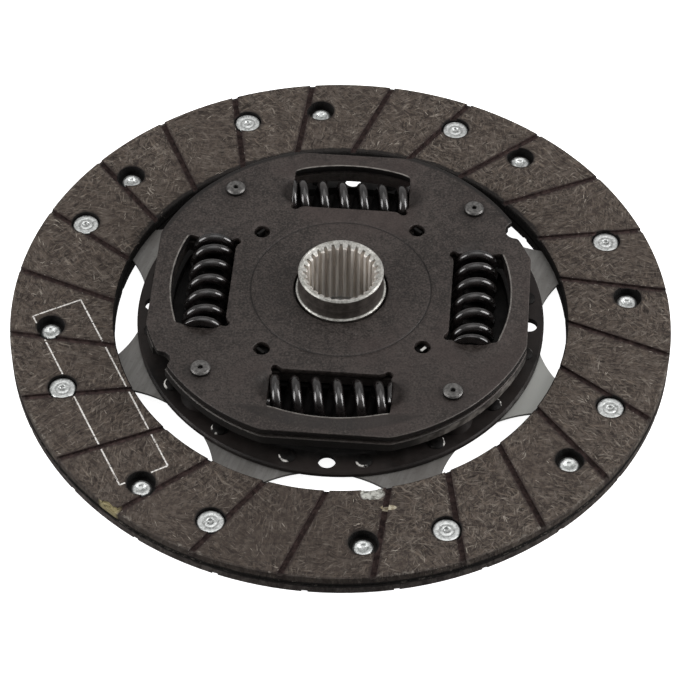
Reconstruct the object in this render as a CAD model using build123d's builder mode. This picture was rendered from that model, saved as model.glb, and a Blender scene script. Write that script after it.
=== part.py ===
from build123d import *
from math import acos, cos, degrees, pi, radians, sin, sqrt
import os

os.makedirs("parts", exist_ok=True)

# Dry clutch disc, 200 mm facings, four damper springs, 28-tooth splined hub.
# Millimetres. +Z is the gearbox side. The origin is on the axis, on the
# flywheel-side friction face. Angles run anticlockwise from +X seen from +Z.

# ---------------------------------------------------------------- dimensions
FACING_OD = 200.0
FACING_ID = 137.4
FACING_T = 3.3
SEGMENT_T = 0.8
Z_SEG = FACING_T                       # underside of the cushion segments
Z_TOP = Z_SEG + SEGMENT_T              # underside of the gearbox-side facing
Z_FACE = Z_TOP + FACING_T              # gearbox-side friction face

GROOVES = 24
GROOVE_W = 1.7
GROOVE_DEPTH = 0.9
GROOVE_TANGENT_R = 24.0                # every groove is tangent to this circle
GROOVE_OUTER_ANGLE = 5.5               # where a groove meets the outer edge

RIVET_R = 87.7                         # facing rivet circle
RIVET_ANGLE_TOP = 20.35                # rivets with their head in the top facing
RIVET_ANGLE_BOT = 4.45                 # rivets with their head in the bottom one
RIVET_HEAD_D = 8.0
RIVET_HEAD_T = 0.8
RIVET_SHANK_D = 4.0
RIVET_TAIL_D = 6.2
CLEAR_D = 8.6                          # clearance hole over a rivet tail
BORE_D = 8.8                           # counterbore for a rivet head
HEAD_SINK = 0.8                        # head below the friction face

PHI = 265.8                            # direction of the first damper spring
NECK = 18.8                            # direction of the first segment neck

RING_OD = 123.4                        # drive plate
Z_RING = Z_TOP
PLATE_T = 2.0
Z_MID = 13.1                           # mid-plane of the damper springs
Z_RET = 16.0                           # underside of the retainer plate
Z_RET_TOP = Z_RET + PLATE_T
Z_INNER_TOP = 2 * Z_MID - Z_RET        # raised middle of the drive plate
Z_INNER = Z_INNER_TOP - PLATE_T
CONE_SUM = 60.1                        # on the conical wall's upper side, radius plus height
SEG_RIVET_R = 57.3
SEG_RIVET_D = 5.0
SEG_SHANK_D = 3.4
RING_HOLE_D = 5.3

RET_R = 59.6                           # retainer plate outline
RET_FLAT = 56.6
NOTCHES = ((58.9, 24.6, 3.3), (60.2, 208.3, 3.0))   # radius, angle and size
RET_BORE = 28.4
COIN_R = 27.1

FLANGE_T = 3.4
Z_FL = Z_MID - FLANGE_T / 2
Z_FL_TOP = Z_MID + FLANGE_T / 2
FLANGE_R = 59.6
FLANGE_FLAT = 56.6
RECESS = 0.9                           # recess for the friction package

WIN_IN = 33.2                          # spring windows
WIN_HALF = 18.0
WIN_OUT_R = 50.9
LIP_HALF = 20.0                        # half length of a window lip, degrees
EAR_R = 1.35
EAR_U = 16.7
EAR_V = 33.1

SPRING_OD = 13.5
WIRE_D = 2.9
SPRING_V = 40.1
SPRING_HALF = 17.95
SPRING_TURNS = 6.98
DEAD_TURNS = 0.87
SPRING_TOPS = (0.87, 0.385, 0.87, 0.45)  # turn, from the -u end, at which the wire is on top

PIN_R = 52.4                           # stop pins
PIN_ANGLE = 42.9
PIN_SHANK_D = 7.0
PIN_TENON_D = 5.2
PIN_HEAD_D = 5.9
TWIST = 6.0                            # hub twist each way, degrees
SLOT_EXTRA = 0.4                       # extra slot angle beyond the twist

TAB_R = 33.5                           # holes that hold the tabs
TAB_ANGLE = 50.4
TAB_HOLE_D = 4.9

HUB_TOP = 25.8
HUB_BOTTOM = 1.3
HUB_D = 25.6
COLLAR_D = 27.1
COLLAR_TOP = 18.5
SPLINES = 28
SPLINE_MINOR = 20.2
SPLINE_MAJOR = 22.8


# ------------------------------------------------------------------ helpers
def polar(r, a, z=0.0):
    return (r * cos(radians(a)), r * sin(radians(a)), z)


def frame_at(a, z):
    """Plane at height z whose local X points outwards at angle a."""
    return Plane(origin=(0, 0, z), x_dir=polar(1.0, a), z_dir=(0, 0, 1))


def spot(r, a, z):
    """Plane at height z centred on a point at radius r, angle a."""
    return Plane(origin=polar(r, a, z), x_dir=polar(1.0, a), z_dir=(0, 0, 1))


def half_plane(r, a):
    """Vertical plane through a parallel axis at radius r: local X out, local Y up."""
    return Plane(
        origin=polar(r, a),
        x_dir=polar(1.0, a),
        z_dir=(sin(radians(a)), -cos(radians(a)), 0),
    )


QUARTERS = [PHI + 90 * k for k in range(4)]
EIGHTHS = [45.0 * k for k in range(8)]


def save(piece, name):
    piece.part.label = name
    export_step(piece.part, "parts/" + name + ".step")


# ---------------------------------------------------------------- facings
GROOVE_LEAN = degrees(acos(GROOVE_TANGENT_R / (FACING_OD / 2)))
GROOVE_STARTS = [GROOVE_OUTER_ANGLE + 360.0 / GROOVES * k for k in range(GROOVES)]

with BuildPart() as facing_gearbox_side:
    with BuildSketch(Plane.XY.offset(Z_TOP)):
        Circle(FACING_OD / 2)
        Circle(FACING_ID / 2, mode=Mode.SUBTRACT)
    extrude(amount=FACING_T)
    rims = facing_gearbox_side.edges().filter_by(GeomType.CIRCLE).group_by(Axis.Z)[-1]
    chamfer(rims, length=0.35)
    for start in GROOVE_STARTS:
        with BuildSketch(frame_at(start + GROOVE_LEAN, Z_FACE)):
            with Locations((GROOVE_TANGENT_R, -84.0)):
                Rectangle(GROOVE_W, 44.0)
        extrude(amount=-GROOVE_DEPTH, mode=Mode.SUBTRACT)
    # tails of the other facing's rivets stand in these through holes
    with BuildSketch(*[spot(RIVET_R, RIVET_ANGLE_BOT + a, Z_TOP) for a in EIGHTHS]):
        Circle(CLEAR_D / 2)
    extrude(amount=FACING_T, mode=Mode.SUBTRACT)
    # own rivets: counterbore and shank hole
    with BuildSketch(*[spot(RIVET_R, RIVET_ANGLE_TOP + a, Z_FACE - HEAD_SINK - RIVET_HEAD_T) for a in EIGHTHS]):
        Circle(BORE_D / 2)
    extrude(amount=FACING_T, mode=Mode.SUBTRACT)
    with BuildSketch(*[spot(RIVET_R, RIVET_ANGLE_TOP + a, Z_TOP) for a in EIGHTHS]):
        Circle(RIVET_SHANK_D / 2)
    extrude(amount=FACING_T, mode=Mode.SUBTRACT)
    # chips out of the inner and outer edges
    for chip_r, chip_a, chip_z, outline in (
        (68.7, 277.7, 0.55, ((-2, -3.1), (0.5, -2.9), (1.9, -2.2), (2.6, -0.6), (2.1, 0.9), (2.5, 2.1), (1.0, 3.0), (-2, 3.4))),
        (68.7, 277.7, 0.95, ((-2, -2.2), (0.4, -1.9), (1.1, -0.3), (0.7, 1.6), (-2, 2.3))),
        (100.0, 228.8, 0.7, ((2, -3.2), (-0.5, -2.7), (-1.3, -1.0), (-0.9, 0.8), (-1.4, 2.0), (-0.3, 3.0), (2, 3.3))),
        (100.0, 228.8, 1.5, ((2, -2.4), (-0.2, -1.7), (-0.7, 0.1), (-0.3, 1.9), (2, 2.5))),
    ):
        with BuildSketch(spot(chip_r, chip_a, Z_FACE)):
            Polygon(*outline, align=None)
        extrude(amount=-chip_z, mode=Mode.SUBTRACT)
save(facing_gearbox_side, "facing_gearbox_side")

with BuildPart() as facing_flywheel_side:
    with BuildSketch(Plane.XY):
        Circle(FACING_OD / 2)
        Circle(FACING_ID / 2, mode=Mode.SUBTRACT)
    extrude(amount=FACING_T)
    rims = facing_flywheel_side.edges().filter_by(GeomType.CIRCLE).group_by(Axis.Z)[0]
    chamfer(rims, length=0.35)
    for start in GROOVE_STARTS:
        with BuildSketch(frame_at(-start - GROOVE_LEAN, 0)):
            with Locations((GROOVE_TANGENT_R, 84.0)):
                Rectangle(GROOVE_W, 44.0)
        extrude(amount=GROOVE_DEPTH, mode=Mode.SUBTRACT)
    with BuildSketch(*[spot(RIVET_R, RIVET_ANGLE_TOP + a, 0) for a in EIGHTHS]):
        Circle(CLEAR_D / 2)
    extrude(amount=FACING_T, mode=Mode.SUBTRACT)
    with BuildSketch(*[spot(RIVET_R, RIVET_ANGLE_BOT + a, 0) for a in EIGHTHS]):
        Circle(BORE_D / 2)
    extrude(amount=HEAD_SINK + RIVET_HEAD_T, mode=Mode.SUBTRACT)
    with BuildSketch(*[spot(RIVET_R, RIVET_ANGLE_BOT + a, 0) for a in EIGHTHS]):
        Circle(RIVET_SHANK_D / 2)
    extrude(amount=FACING_T, mode=Mode.SUBTRACT)
save(facing_flywheel_side, "facing_flywheel_side")

# ------------------------------------------------------- cushion segments
# Eight sprung steel segments: a foot riveted to the drive plate, a waisted
# neck, and a paddle between the facings.
SEG_IN = 54.6
SEG_OUT = 98.4
PADDLE_IN = 71.5
GAP_C = 92.0                           # round gap between two necks
GAP_R = 32.6
SEG_HALF = 21.9
FOOT_HALF = 18.3

for k in range(8):
    a0 = NECK + 45.0 * k
    low = polar(130.0, -SEG_HALF)
    high = polar(130.0, SEG_HALF)
    with BuildPart() as cushion_segment:
        with BuildSketch(frame_at(a0, Z_SEG)) as outline:
            Circle(SEG_OUT)
            Circle(SEG_IN, mode=Mode.SUBTRACT)
            with BuildLine():
                Polyline((0, 0), (low[0], low[1]), (high[0], high[1]), (0, 0))
            make_face(mode=Mode.INTERSECT)
            for s in (1, -1):
                with BuildSketch(Plane.XY, mode=Mode.PRIVATE) as waist:
                    with Locations(polar(GAP_C, s * 22.5)[:2]):
                        Circle(GAP_R)
                    Circle(PADDLE_IN, mode=Mode.INTERSECT)
                    fillet(waist.vertices(), radius=1.5)
                add(waist.sketch, mode=Mode.SUBTRACT)
                Polygon(
                    polar(50.0, s * FOOT_HALF)[:2],
                    polar(64.0, s * FOOT_HALF)[:2],
                    polar(64.0, s * 24.0)[:2],
                    polar(50.0, s * 24.0)[:2],
                    align=None,
                    mode=Mode.SUBTRACT,
                )
        extrude(amount=SEGMENT_T)
        with BuildSketch(*[spot(RIVET_R, RIVET_ANGLE_TOP + 45.0 * k, Z_SEG), spot(RIVET_R, RIVET_ANGLE_BOT + 45.0 * k, Z_SEG)]):
            Circle(RIVET_SHANK_D / 2)
        extrude(amount=SEGMENT_T, mode=Mode.SUBTRACT)
        with BuildSketch(*[spot(SEG_RIVET_R, PHI + 11.25 + 22.5 * m, Z_SEG) for m in range(16)]):
            Circle(SEG_SHANK_D / 2)
        extrude(amount=SEGMENT_T, mode=Mode.SUBTRACT)
    save(cushion_segment, "cushion_segment_" + str(k + 1))

# ------------------------------------------------------------ drive plate
# Dished disc: flat rim with the segment rivets, conical wall, and a raised
# middle. Four closed pockets, pressed down to the level of the rim, hold the
# flywheel-side halves of the springs.
with BuildPart() as drive_plate:
    with BuildSketch(Plane.XZ):
        with BuildLine():
            Polyline(
                (16.2, Z_INNER),
                (CONE_SUM - 2 * sqrt(2) - Z_INNER, Z_INNER),
                (CONE_SUM - 2 * sqrt(2) - Z_RING, Z_RING),
                (RING_OD / 2 - 0.3, Z_RING),
                (RING_OD / 2, Z_RING + 0.3),
                (RING_OD / 2, Z_RING + PLATE_T - 0.5),
                (RING_OD / 2 - 0.5, Z_RING + PLATE_T),
                (CONE_SUM - Z_RING - PLATE_T, Z_RING + PLATE_T),
                (CONE_SUM - Z_INNER_TOP, Z_INNER_TOP),
                (16.2, Z_INNER_TOP),
                (16.2, Z_INNER),
            )
        make_face()
    revolve(axis=Axis.Z)
    # seats of the stop pins
    for q in QUARTERS:
        with BuildSketch(half_plane(PIN_R, q + PIN_ANGLE)):
            Polygon((0, Z_RING + 1), (6.2, Z_RING + 1), (6.2, Z_RING + PLATE_T), (4.7, Z_INNER_TOP - 0.4), (4.3, Z_INNER_TOP), (0, Z_INNER_TOP), align=None)
        revolve(axis=Axis(polar(PIN_R, q + PIN_ANGLE), (0, 0, 1)))
    for q in QUARTERS:
        with BuildSketch(half_plane(PIN_R, q + PIN_ANGLE)):
            Polygon((0, Z_RING - 1), (4.7, Z_RING - 1), (4.7, Z_RING), (3.5, Z_INNER), (0, Z_INNER), align=None)
        revolve(axis=Axis(polar(PIN_R, q + PIN_ANGLE), (0, 0, 1)), mode=Mode.SUBTRACT)
    # spring pockets
    for q in QUARTERS:
        with BuildPart(mode=Mode.PRIVATE) as pocket:
            with BuildSketch(frame_at(q, Z_RING)) as outside:
                with Locations((WIN_IN - PLATE_T + 15, 0)):
                    Rectangle(30, 2 * WIN_HALF + 2 * PLATE_T)
                Circle(54.5, mode=Mode.INTERSECT)
                fillet(outside.vertices(), radius=3.0)
            extrude(amount=Z_INNER_TOP - Z_RING)
            with BuildSketch(Plane.XZ):
                with BuildLine():
                    Polyline(
                        (0, Z_RING),
                        (CONE_SUM - Z_RING, Z_RING),
                        (CONE_SUM - Z_INNER_TOP, Z_INNER_TOP),
                        (0, Z_INNER_TOP),
                        (0, Z_RING),
                    )
                make_face()
            revolve(axis=Axis.Z, mode=Mode.INTERSECT)
            foot = pocket.edges().filter_by_position(Axis.Z, Z_RING - 0.01, Z_RING + 0.01)
            fillet(foot.sort_by(lambda e: e.center().X ** 2 + e.center().Y ** 2)[0], radius=0.8)
        add(pocket.part)
    for q in QUARTERS:
        with BuildSketch(frame_at(q, Z_RING + PLATE_T)) as inside:
            with Locations((WIN_IN + 15, 0)):
                Rectangle(30, 2 * WIN_HALF)
            Circle(WIN_OUT_R, mode=Mode.INTERSECT)
            fillet(inside.vertices(), radius=1.0)
        extrude(amount=Z_INNER_TOP - Z_RING, mode=Mode.SUBTRACT)
    with BuildSketch(*[spot(PIN_R, q + PIN_ANGLE, Z_INNER - 1) for q in QUARTERS]):
        Circle(PIN_TENON_D / 2)
    extrude(amount=PLATE_T + 2, mode=Mode.SUBTRACT)
    with BuildSketch(*[spot(SEG_RIVET_R, PHI + 11.25 + 22.5 * m, Z_RING) for m in range(16)]):
        Circle(SEG_SHANK_D / 2)
    extrude(amount=PLATE_T, mode=Mode.SUBTRACT)
    with BuildSketch(*[spot(57.1, PHI + 0.5 + 90 * m, Z_RING) for m in range(4)]):
        Circle(RING_HOLE_D / 2)
    extrude(amount=PLATE_T, mode=Mode.SUBTRACT)
save(drive_plate, "drive_plate")

# --------------------------------------------------------- retainer plate
# Outline: circle with four flats; four windows with turned-up outer lips,
# coined seats at the spring ends, tab holes and two notches.
with BuildPart() as retainer_plate:
    with BuildSketch(Plane.XY.offset(Z_RET)) as outline:
        Circle(RET_R)
        Rectangle(2 * RET_FLAT, 2 * RET_FLAT, rotation=PHI, mode=Mode.INTERSECT)
        fillet(outline.vertices(), radius=7.0)
    extrude(amount=PLATE_T)
    rims = retainer_plate.faces().sort_by(Axis.Z)[-1].edges()
    fillet(rims, radius=0.45)
    # turned-up lips along the outer arcs of the windows
    for q in QUARTERS:
        with BuildSketch(half_plane(0, q - LIP_HALF)):
            Polygon(
                (WIN_OUT_R - 0.6, Z_RET_TOP - 0.5),
                (WIN_OUT_R + 2.9, Z_RET_TOP - 0.5),
                (WIN_OUT_R + 2.9, Z_RET_TOP),
                (WIN_OUT_R + 1.5, Z_RET_TOP + 0.5),
                (WIN_OUT_R + 0.7, Z_RET_TOP + 0.72),
                (WIN_OUT_R - 0.1, Z_RET_TOP + 0.72),
                (WIN_OUT_R - 0.6, Z_RET_TOP + 0.5),
                align=None,
            )
        revolve(axis=Axis.Z, revolution_arc=2 * LIP_HALF)
    # coined seats bulge below the plate at the spring ends
    for q in QUARTERS:
        for s in (1, -1):
            with BuildSketch(frame_at(q, Z_RET - 0.6)):
                with Locations((SPRING_V, s * 16.2)):
                    Circle(5.0)
            extrude(amount=0.8, taper=-35)
    for q in QUARTERS:
        for s in (1, -1):
            with BuildSketch(frame_at(q, Z_RET_TOP)):
                with Locations((SPRING_V, s * 15.4)):
                    Circle(6.3)
            extrude(amount=-1.4, taper=55, mode=Mode.SUBTRACT)
    for q in QUARTERS:
        with BuildSketch(frame_at(q, Z_RET - 1)):
            with Locations((WIN_IN + 15, 0)):
                Rectangle(30, 2 * WIN_HALF)
            Circle(WIN_OUT_R, mode=Mode.INTERSECT)
            with Locations((EAR_V, EAR_U), (EAR_V, -EAR_U)):
                Circle(EAR_R)
        extrude(amount=PLATE_T + 3, mode=Mode.SUBTRACT)
    with BuildSketch(Plane.XY.offset(Z_RET - 1)):
        Circle(RET_BORE / 2)
        for q in QUARTERS:
            with Locations(polar(PIN_R, q + PIN_ANGLE)[:2]):
                Circle(PIN_TENON_D / 2)
            with Locations(polar(TAB_R, q + TAB_ANGLE)[:2]):
                Circle(TAB_HOLE_D / 2)
        for r, a, size in NOTCHES:
            with Locations(polar(r, a)[:2]):
                Circle(size)
        # sloping shoulder between one notch and its flat
        Polygon(
            polar(59.2, 11.3)[:2],
            polar(58.75, 13.9)[:2],
            polar(58.45, 15.8)[:2],
            polar(58.3, 17.9)[:2],
            polar(58.0, 21.6)[:2],
            polar(64.0, 22.0)[:2],
            polar(64.0, 11.0)[:2],
            align=None,
        )
    extrude(amount=PLATE_T + 3, mode=Mode.SUBTRACT)
    # coined circle round the hub
    with BuildSketch(Plane.XY.offset(Z_RET_TOP)):
        Circle(COIN_R + 0.17)
        Circle(COIN_R - 0.17, mode=Mode.SUBTRACT)
    extrude(amount=-0.2, mode=Mode.SUBTRACT)
save(retainer_plate, "retainer_plate")

# -------------------------------------------------------------- hub flange
with BuildPart() as hub_flange:
    with BuildSketch(Plane.XY.offset(Z_FL)) as outline:
        Circle(FLANGE_R)
        Rectangle(2 * FLANGE_FLAT, 2 * FLANGE_FLAT, rotation=PHI, mode=Mode.INTERSECT)
        fillet(outline.vertices(), radius=7.0)
    extrude(amount=FLANGE_T)
    rims = hub_flange.faces().sort_by(Axis.Z)[-1].edges() + hub_flange.faces().sort_by(Axis.Z)[0].edges()
    chamfer(rims, length=0.3)
    for q in QUARTERS:
        with BuildSketch(frame_at(q, Z_FL)):
            with Locations((32.2 + 15, 0)):
                Rectangle(30, 2 * WIN_HALF)
            Circle(51.5, mode=Mode.INTERSECT)
        extrude(amount=FLANGE_T, mode=Mode.SUBTRACT)
        # slot for the stop pin
        reach = TWIST + SLOT_EXTRA
        half = PIN_SHANK_D / 2 + 0.4
        with BuildSketch(frame_at(q + PIN_ANGLE, Z_FL)) as slot:
            Circle(PIN_R + half)
            Circle(PIN_R - half, mode=Mode.SUBTRACT)
            with BuildLine():
                Polyline((0, 0), polar(80, -reach)[:2], polar(80, reach)[:2], (0, 0))
            make_face(mode=Mode.INTERSECT)
            with Locations(polar(PIN_R, -reach)[:2], polar(PIN_R, reach)[:2]):
                Circle(half)
        extrude(amount=FLANGE_T, mode=Mode.SUBTRACT)
    with BuildSketch(Plane.XY.offset(Z_FL)):
        Circle(16.0)
        # notches in line with those of the cover plate
        with Locations(polar(61.0, 25.5)[:2], polar(61.0, 205.5)[:2]):
            Circle(5.0)
    extrude(amount=FLANGE_T, mode=Mode.SUBTRACT)
    with BuildSketch(Plane.XY.offset(Z_FL_TOP - RECESS)):
        Circle(31.0)
    extrude(amount=RECESS, mode=Mode.SUBTRACT)
save(hub_flange, "hub_flange")

# --------------------------------------------------------------------- hub
Z_SEAT = Z_FL_TOP - RECESS
with BuildPart() as splined_hub:
    with BuildSketch(Plane.XZ):
        with BuildLine():
            Polyline(
                (SPLINE_MAJOR / 2 - 2.0, HUB_BOTTOM),
                (13.4, HUB_BOTTOM),
                (14.0, HUB_BOTTOM + 0.6),
                (14.0, 10.4),
                (17.2, 10.4),
                (17.2, Z_FL),
                (16.0, Z_FL),
                (16.0, Z_SEAT),
                (COLLAR_D / 2, Z_SEAT),
                (COLLAR_D / 2, COLLAR_TOP - 0.35),
                (COLLAR_D / 2 - 0.35, COLLAR_TOP),
                (HUB_D / 2 + 0.1, COLLAR_TOP),
                (HUB_D / 2, HUB_TOP - 0.5),
                (HUB_D / 2 - 0.45, HUB_TOP),
                (SPLINE_MAJOR / 2 - 2.0, HUB_TOP),
                (SPLINE_MAJOR / 2 - 2.0, HUB_BOTTOM),
            )
        make_face()
    revolve(axis=Axis.Z)
    with BuildSketch(Plane.XY.offset(HUB_BOTTOM)):
        Circle(SPLINE_MINOR / 2)
    extrude(amount=HUB_TOP - HUB_BOTTOM, mode=Mode.SUBTRACT)
    # splines
    with BuildSketch(Plane.XY.offset(HUB_BOTTOM)):
        with PolarLocations(0, SPLINES):
            Polygon(
                (SPLINE_MINOR / 2 - 0.3, -0.72),
                (SPLINE_MAJOR / 2, -0.42),
                (SPLINE_MAJOR / 2, 0.42),
                (SPLINE_MINOR / 2 - 0.3, 0.72),
                align=None,
            )
    extrude(amount=HUB_TOP - HUB_BOTTOM, mode=Mode.SUBTRACT)
    # lead-in chamfers
    with BuildSketch(Plane.XZ):
        with BuildLine():
            Polyline((0, HUB_TOP), (12.1, HUB_TOP), (SPLINE_MINOR / 2 - 0.1, HUB_TOP - 1.75), (0, HUB_TOP - 1.75), (0, HUB_TOP))
        make_face()
        with BuildLine():
            Polyline((0, HUB_BOTTOM), (12.1, HUB_BOTTOM), (SPLINE_MINOR / 2 - 0.1, HUB_BOTTOM + 1.75), (0, HUB_BOTTOM + 1.75), (0, HUB_BOTTOM))
        make_face()
    revolve(axis=Axis.Z, mode=Mode.SUBTRACT)
save(splined_hub, "splined_hub")

# ---------------------------------------------------------- damper springs
# Closed and ground compression springs, turned about their own axis as seen.
PITCH_DEAD = 2.5
ACTIVE_HALF = 16.1
U_END = ACTIVE_HALF + DEAD_TURNS * PITCH_DEAD
ACTIVE = SPRING_TURNS - 2 * DEAD_TURNS
PITCH = 2 * ACTIVE_HALF / ACTIVE


def spring_u(t):
    """Position along the spring axis after t turns, with eased pitch changes."""
    def pitch(x):
        edge = 0.12
        low = min(max((x - DEAD_TURNS + edge) / (2 * edge), 0.0), 1.0)
        high = min(max((SPRING_TURNS - DEAD_TURNS + edge - x) / (2 * edge), 0.0), 1.0)
        w = min(low, high)
        return PITCH_DEAD + (PITCH - PITCH_DEAD) * w

    steps = max(1, int(round(t / 0.01)))
    total = sum(pitch((i + 0.5) * t / steps) for i in range(steps)) * t / steps
    return -U_END + total


COIL_R = SPRING_OD / 2 - WIRE_D / 2
for k, q in enumerate(QUARTERS):
    out = polar(1.0, q)
    along = (-sin(radians(q)), cos(radians(q)))
    points = []
    count = int(SPRING_TURNS * 10)
    for i in range(count + 1):
        t = SPRING_TURNS * i / count
        a = 2 * pi * (t - SPRING_TOPS[k])
        u = spring_u(t)
        v = SPRING_V + COIL_R * sin(a)
        points.append((out[0] * v + along[0] * u, out[1] * v + along[1] * u, Z_MID + COIL_R * cos(a)))
    with BuildPart() as damper_spring:
        with BuildLine() as wire_path:
            Spline(*points)
        with BuildSketch(Plane(origin=wire_path.wires()[0] @ 0, z_dir=wire_path.wires()[0] % 0)):
            Circle(WIRE_D / 2)
        sweep(is_frenet=True)
        with BuildSketch(frame_at(q, Z_MID - 10)):
            with Locations((SPRING_V, 0)):
                Rectangle(30, 2 * SPRING_HALF)
        extrude(amount=20, mode=Mode.INTERSECT)
    save(damper_spring, "damper_spring_" + str(k + 1))

# ----------------------------------------------------- pins and rivets
with BuildPart() as stop_pins:
    for q in QUARTERS:
        with BuildSketch(half_plane(PIN_R, q + PIN_ANGLE)):
            with BuildLine():
                Polyline(
                    (0, Z_INNER - 1.1),
                    (2.6, Z_INNER - 1.1),
                    (3.1, Z_INNER - 0.7),
                    (3.1, Z_INNER),
                    (PIN_TENON_D / 2, Z_INNER),
                    (PIN_TENON_D / 2, Z_INNER_TOP),
                    (PIN_SHANK_D / 2, Z_INNER_TOP),
                    (PIN_SHANK_D / 2, Z_RET),
                    (PIN_TENON_D / 2, Z_RET),
                    (PIN_TENON_D / 2, Z_RET_TOP),
                    (PIN_HEAD_D / 2, Z_RET_TOP),
                    (PIN_HEAD_D / 2, Z_RET_TOP + 0.95),
                    (PIN_HEAD_D / 2 - 0.4, Z_RET_TOP + 1.4),
                    (0.85, Z_RET_TOP + 1.4),
                    (0.6, Z_RET_TOP + 0.3),
                    (0, Z_RET_TOP + 0.1),
                    (0, Z_INNER - 1.1),
                )
            make_face()
        revolve(axis=Axis(polar(PIN_R, q + PIN_ANGLE), (0, 0, 1)))
save(stop_pins, "stop_pins")

with BuildPart() as segment_rivets:
    for m in range(16):
        a = PHI + 11.25 + 22.5 * m
        zt = Z_RING + PLATE_T
        with BuildSketch(half_plane(SEG_RIVET_R, a)):
            with BuildLine():
                Polyline((0, Z_SEG - 0.9), (1.7, Z_SEG - 0.9), (SEG_RIVET_D / 2, Z_SEG - 0.45), (SEG_RIVET_D / 2, Z_SEG), (SEG_SHANK_D / 2, Z_SEG), (SEG_SHANK_D / 2, zt), (SEG_RIVET_D / 2, zt), (SEG_RIVET_D / 2, zt + 0.3))
                ThreePointArc((SEG_RIVET_D / 2, zt + 0.3), (1.6, zt + 0.83), (0.5, zt + 1.05))
                Polyline((0.5, zt + 1.05), (0, zt + 1.05), (0, Z_SEG - 0.9))
            make_face()
        revolve(axis=Axis(polar(SEG_RIVET_R, a), (0, 0, 1)))
save(segment_rivets, "segment_rivets")


def facing_rivet_profile(z_head, z_under, z_tail, way):
    """Half profile: head face, head underside, seat of the tail; way is +1 head up."""
    h = RIVET_HEAD_D / 2
    s = RIVET_SHANK_D / 2
    t = RIVET_TAIL_D / 2
    return [
        (0, z_head - way * 0.55),
        (0.75, z_head - way * 0.5),
        (0.95, z_head),
        (1.75, z_head),
        (1.95, z_head - way * 0.14),
        (2.45, z_head - way * 0.14),
        (2.65, z_head),
        (h - 0.25, z_head),
        (h, z_head - way * 0.25),
        (h, z_under),
        (s, z_under),
        (s, z_tail),
        (t, z_tail),
        (t, z_tail - way * 0.45),
        (t - 0.45, z_tail - way * 0.95),
        (1.35, z_tail - way * 1.1),
        (0.9, z_tail - way * 0.75),
        (0, z_tail - way * 0.65),
        (0, z_head - way * 0.55),
    ]


with BuildPart() as facing_rivets_gearbox_side:
    for a in EIGHTHS:
        with BuildSketch(half_plane(RIVET_R, RIVET_ANGLE_TOP + a)):
            with BuildLine():
                Polyline(*facing_rivet_profile(Z_FACE - HEAD_SINK, Z_FACE - HEAD_SINK - RIVET_HEAD_T, Z_SEG, 1))
            make_face()
        revolve(axis=Axis(polar(RIVET_R, RIVET_ANGLE_TOP + a), (0, 0, 1)))
save(facing_rivets_gearbox_side, "facing_rivets_gearbox_side")

with BuildPart() as facing_rivets_flywheel_side:
    for a in EIGHTHS:
        with BuildSketch(half_plane(RIVET_R, RIVET_ANGLE_BOT + a)):
            with BuildLine():
                Polyline(*facing_rivet_profile(HEAD_SINK, HEAD_SINK + RIVET_HEAD_T, Z_TOP, -1))
            make_face()
        revolve(axis=Axis(polar(RIVET_R, RIVET_ANGLE_BOT + a), (0, 0, 1)))
save(facing_rivets_flywheel_side, "facing_rivets_flywheel_side")

# ----------------------------------------------------- friction package
with BuildPart() as friction_washer_flywheel_side:
    with BuildSketch(Plane.XY.offset(Z_INNER_TOP)):
        Circle(30.5)
        Circle(17.6, mode=Mode.SUBTRACT)
    extrude(amount=Z_FL - Z_INNER_TOP - 0.05)
save(friction_washer_flywheel_side, "friction_washer_flywheel_side")

with BuildPart() as friction_washer_gearbox_side:
    with BuildSketch(Plane.XY.offset(Z_SEAT + 0.05)):
        Circle(30.0)
        Circle(17.0, mode=Mode.SUBTRACT)
    extrude(amount=0.95)
save(friction_washer_gearbox_side, "friction_washer_gearbox_side")

Z_SUP = Z_SEAT + 1.0
with BuildPart() as support_ring:
    with BuildSketch(Plane.XY.offset(Z_SUP)):
        Circle(30.0)
        Circle(17.0, mode=Mode.SUBTRACT)
    extrude(amount=0.5)
    for q in QUARTERS:
        with BuildSketch(frame_at(q + TAB_ANGLE, Z_SUP)):
            with Locations((31.4, 0)):
                Rectangle(5.6, 2.8)
        extrude(amount=0.5)
        with BuildSketch(frame_at(q + TAB_ANGLE, Z_SUP)):
            with Locations((34.0, 0)):
                Rectangle(0.8, 2.8)
        extrude(amount=Z_RET_TOP - 0.4 - Z_SUP)
save(support_ring, "support_ring")

with BuildPart() as diaphragm_spring:
    z0 = Z_SUP + 0.5
    with BuildSketch(Plane.XZ):
        with BuildLine():
            Polyline((19.0, Z_RET - 0.4), (19.0, Z_RET), (19.4, Z_RET), (28.5, z0 + 0.4), (28.5, z0), (28.1, z0), (19.0, Z_RET - 0.4))
        make_face()
    revolve(axis=Axis.Z)
save(diaphragm_spring, "diaphragm_spring")

with BuildPart() as centring_bush:
    with BuildSketch(Plane.XZ):
        with BuildLine():
            Polyline((14.05, Z_INNER - 1.0), (18.5, Z_INNER - 1.0), (18.5, Z_INNER), (16.2, Z_INNER), (16.2, Z_INNER_TOP - 0.05), (14.05, Z_INNER_TOP - 0.05), (14.05, Z_INNER - 1.0))
        make_face()
    revolve(axis=Axis.Z)
save(centring_bush, "centring_bush")
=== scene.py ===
import bpy, math, random
from math import sin, cos, pi, radians, degrees, sqrt, atan2, acos
from mathutils import Matrix, Vector


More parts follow.
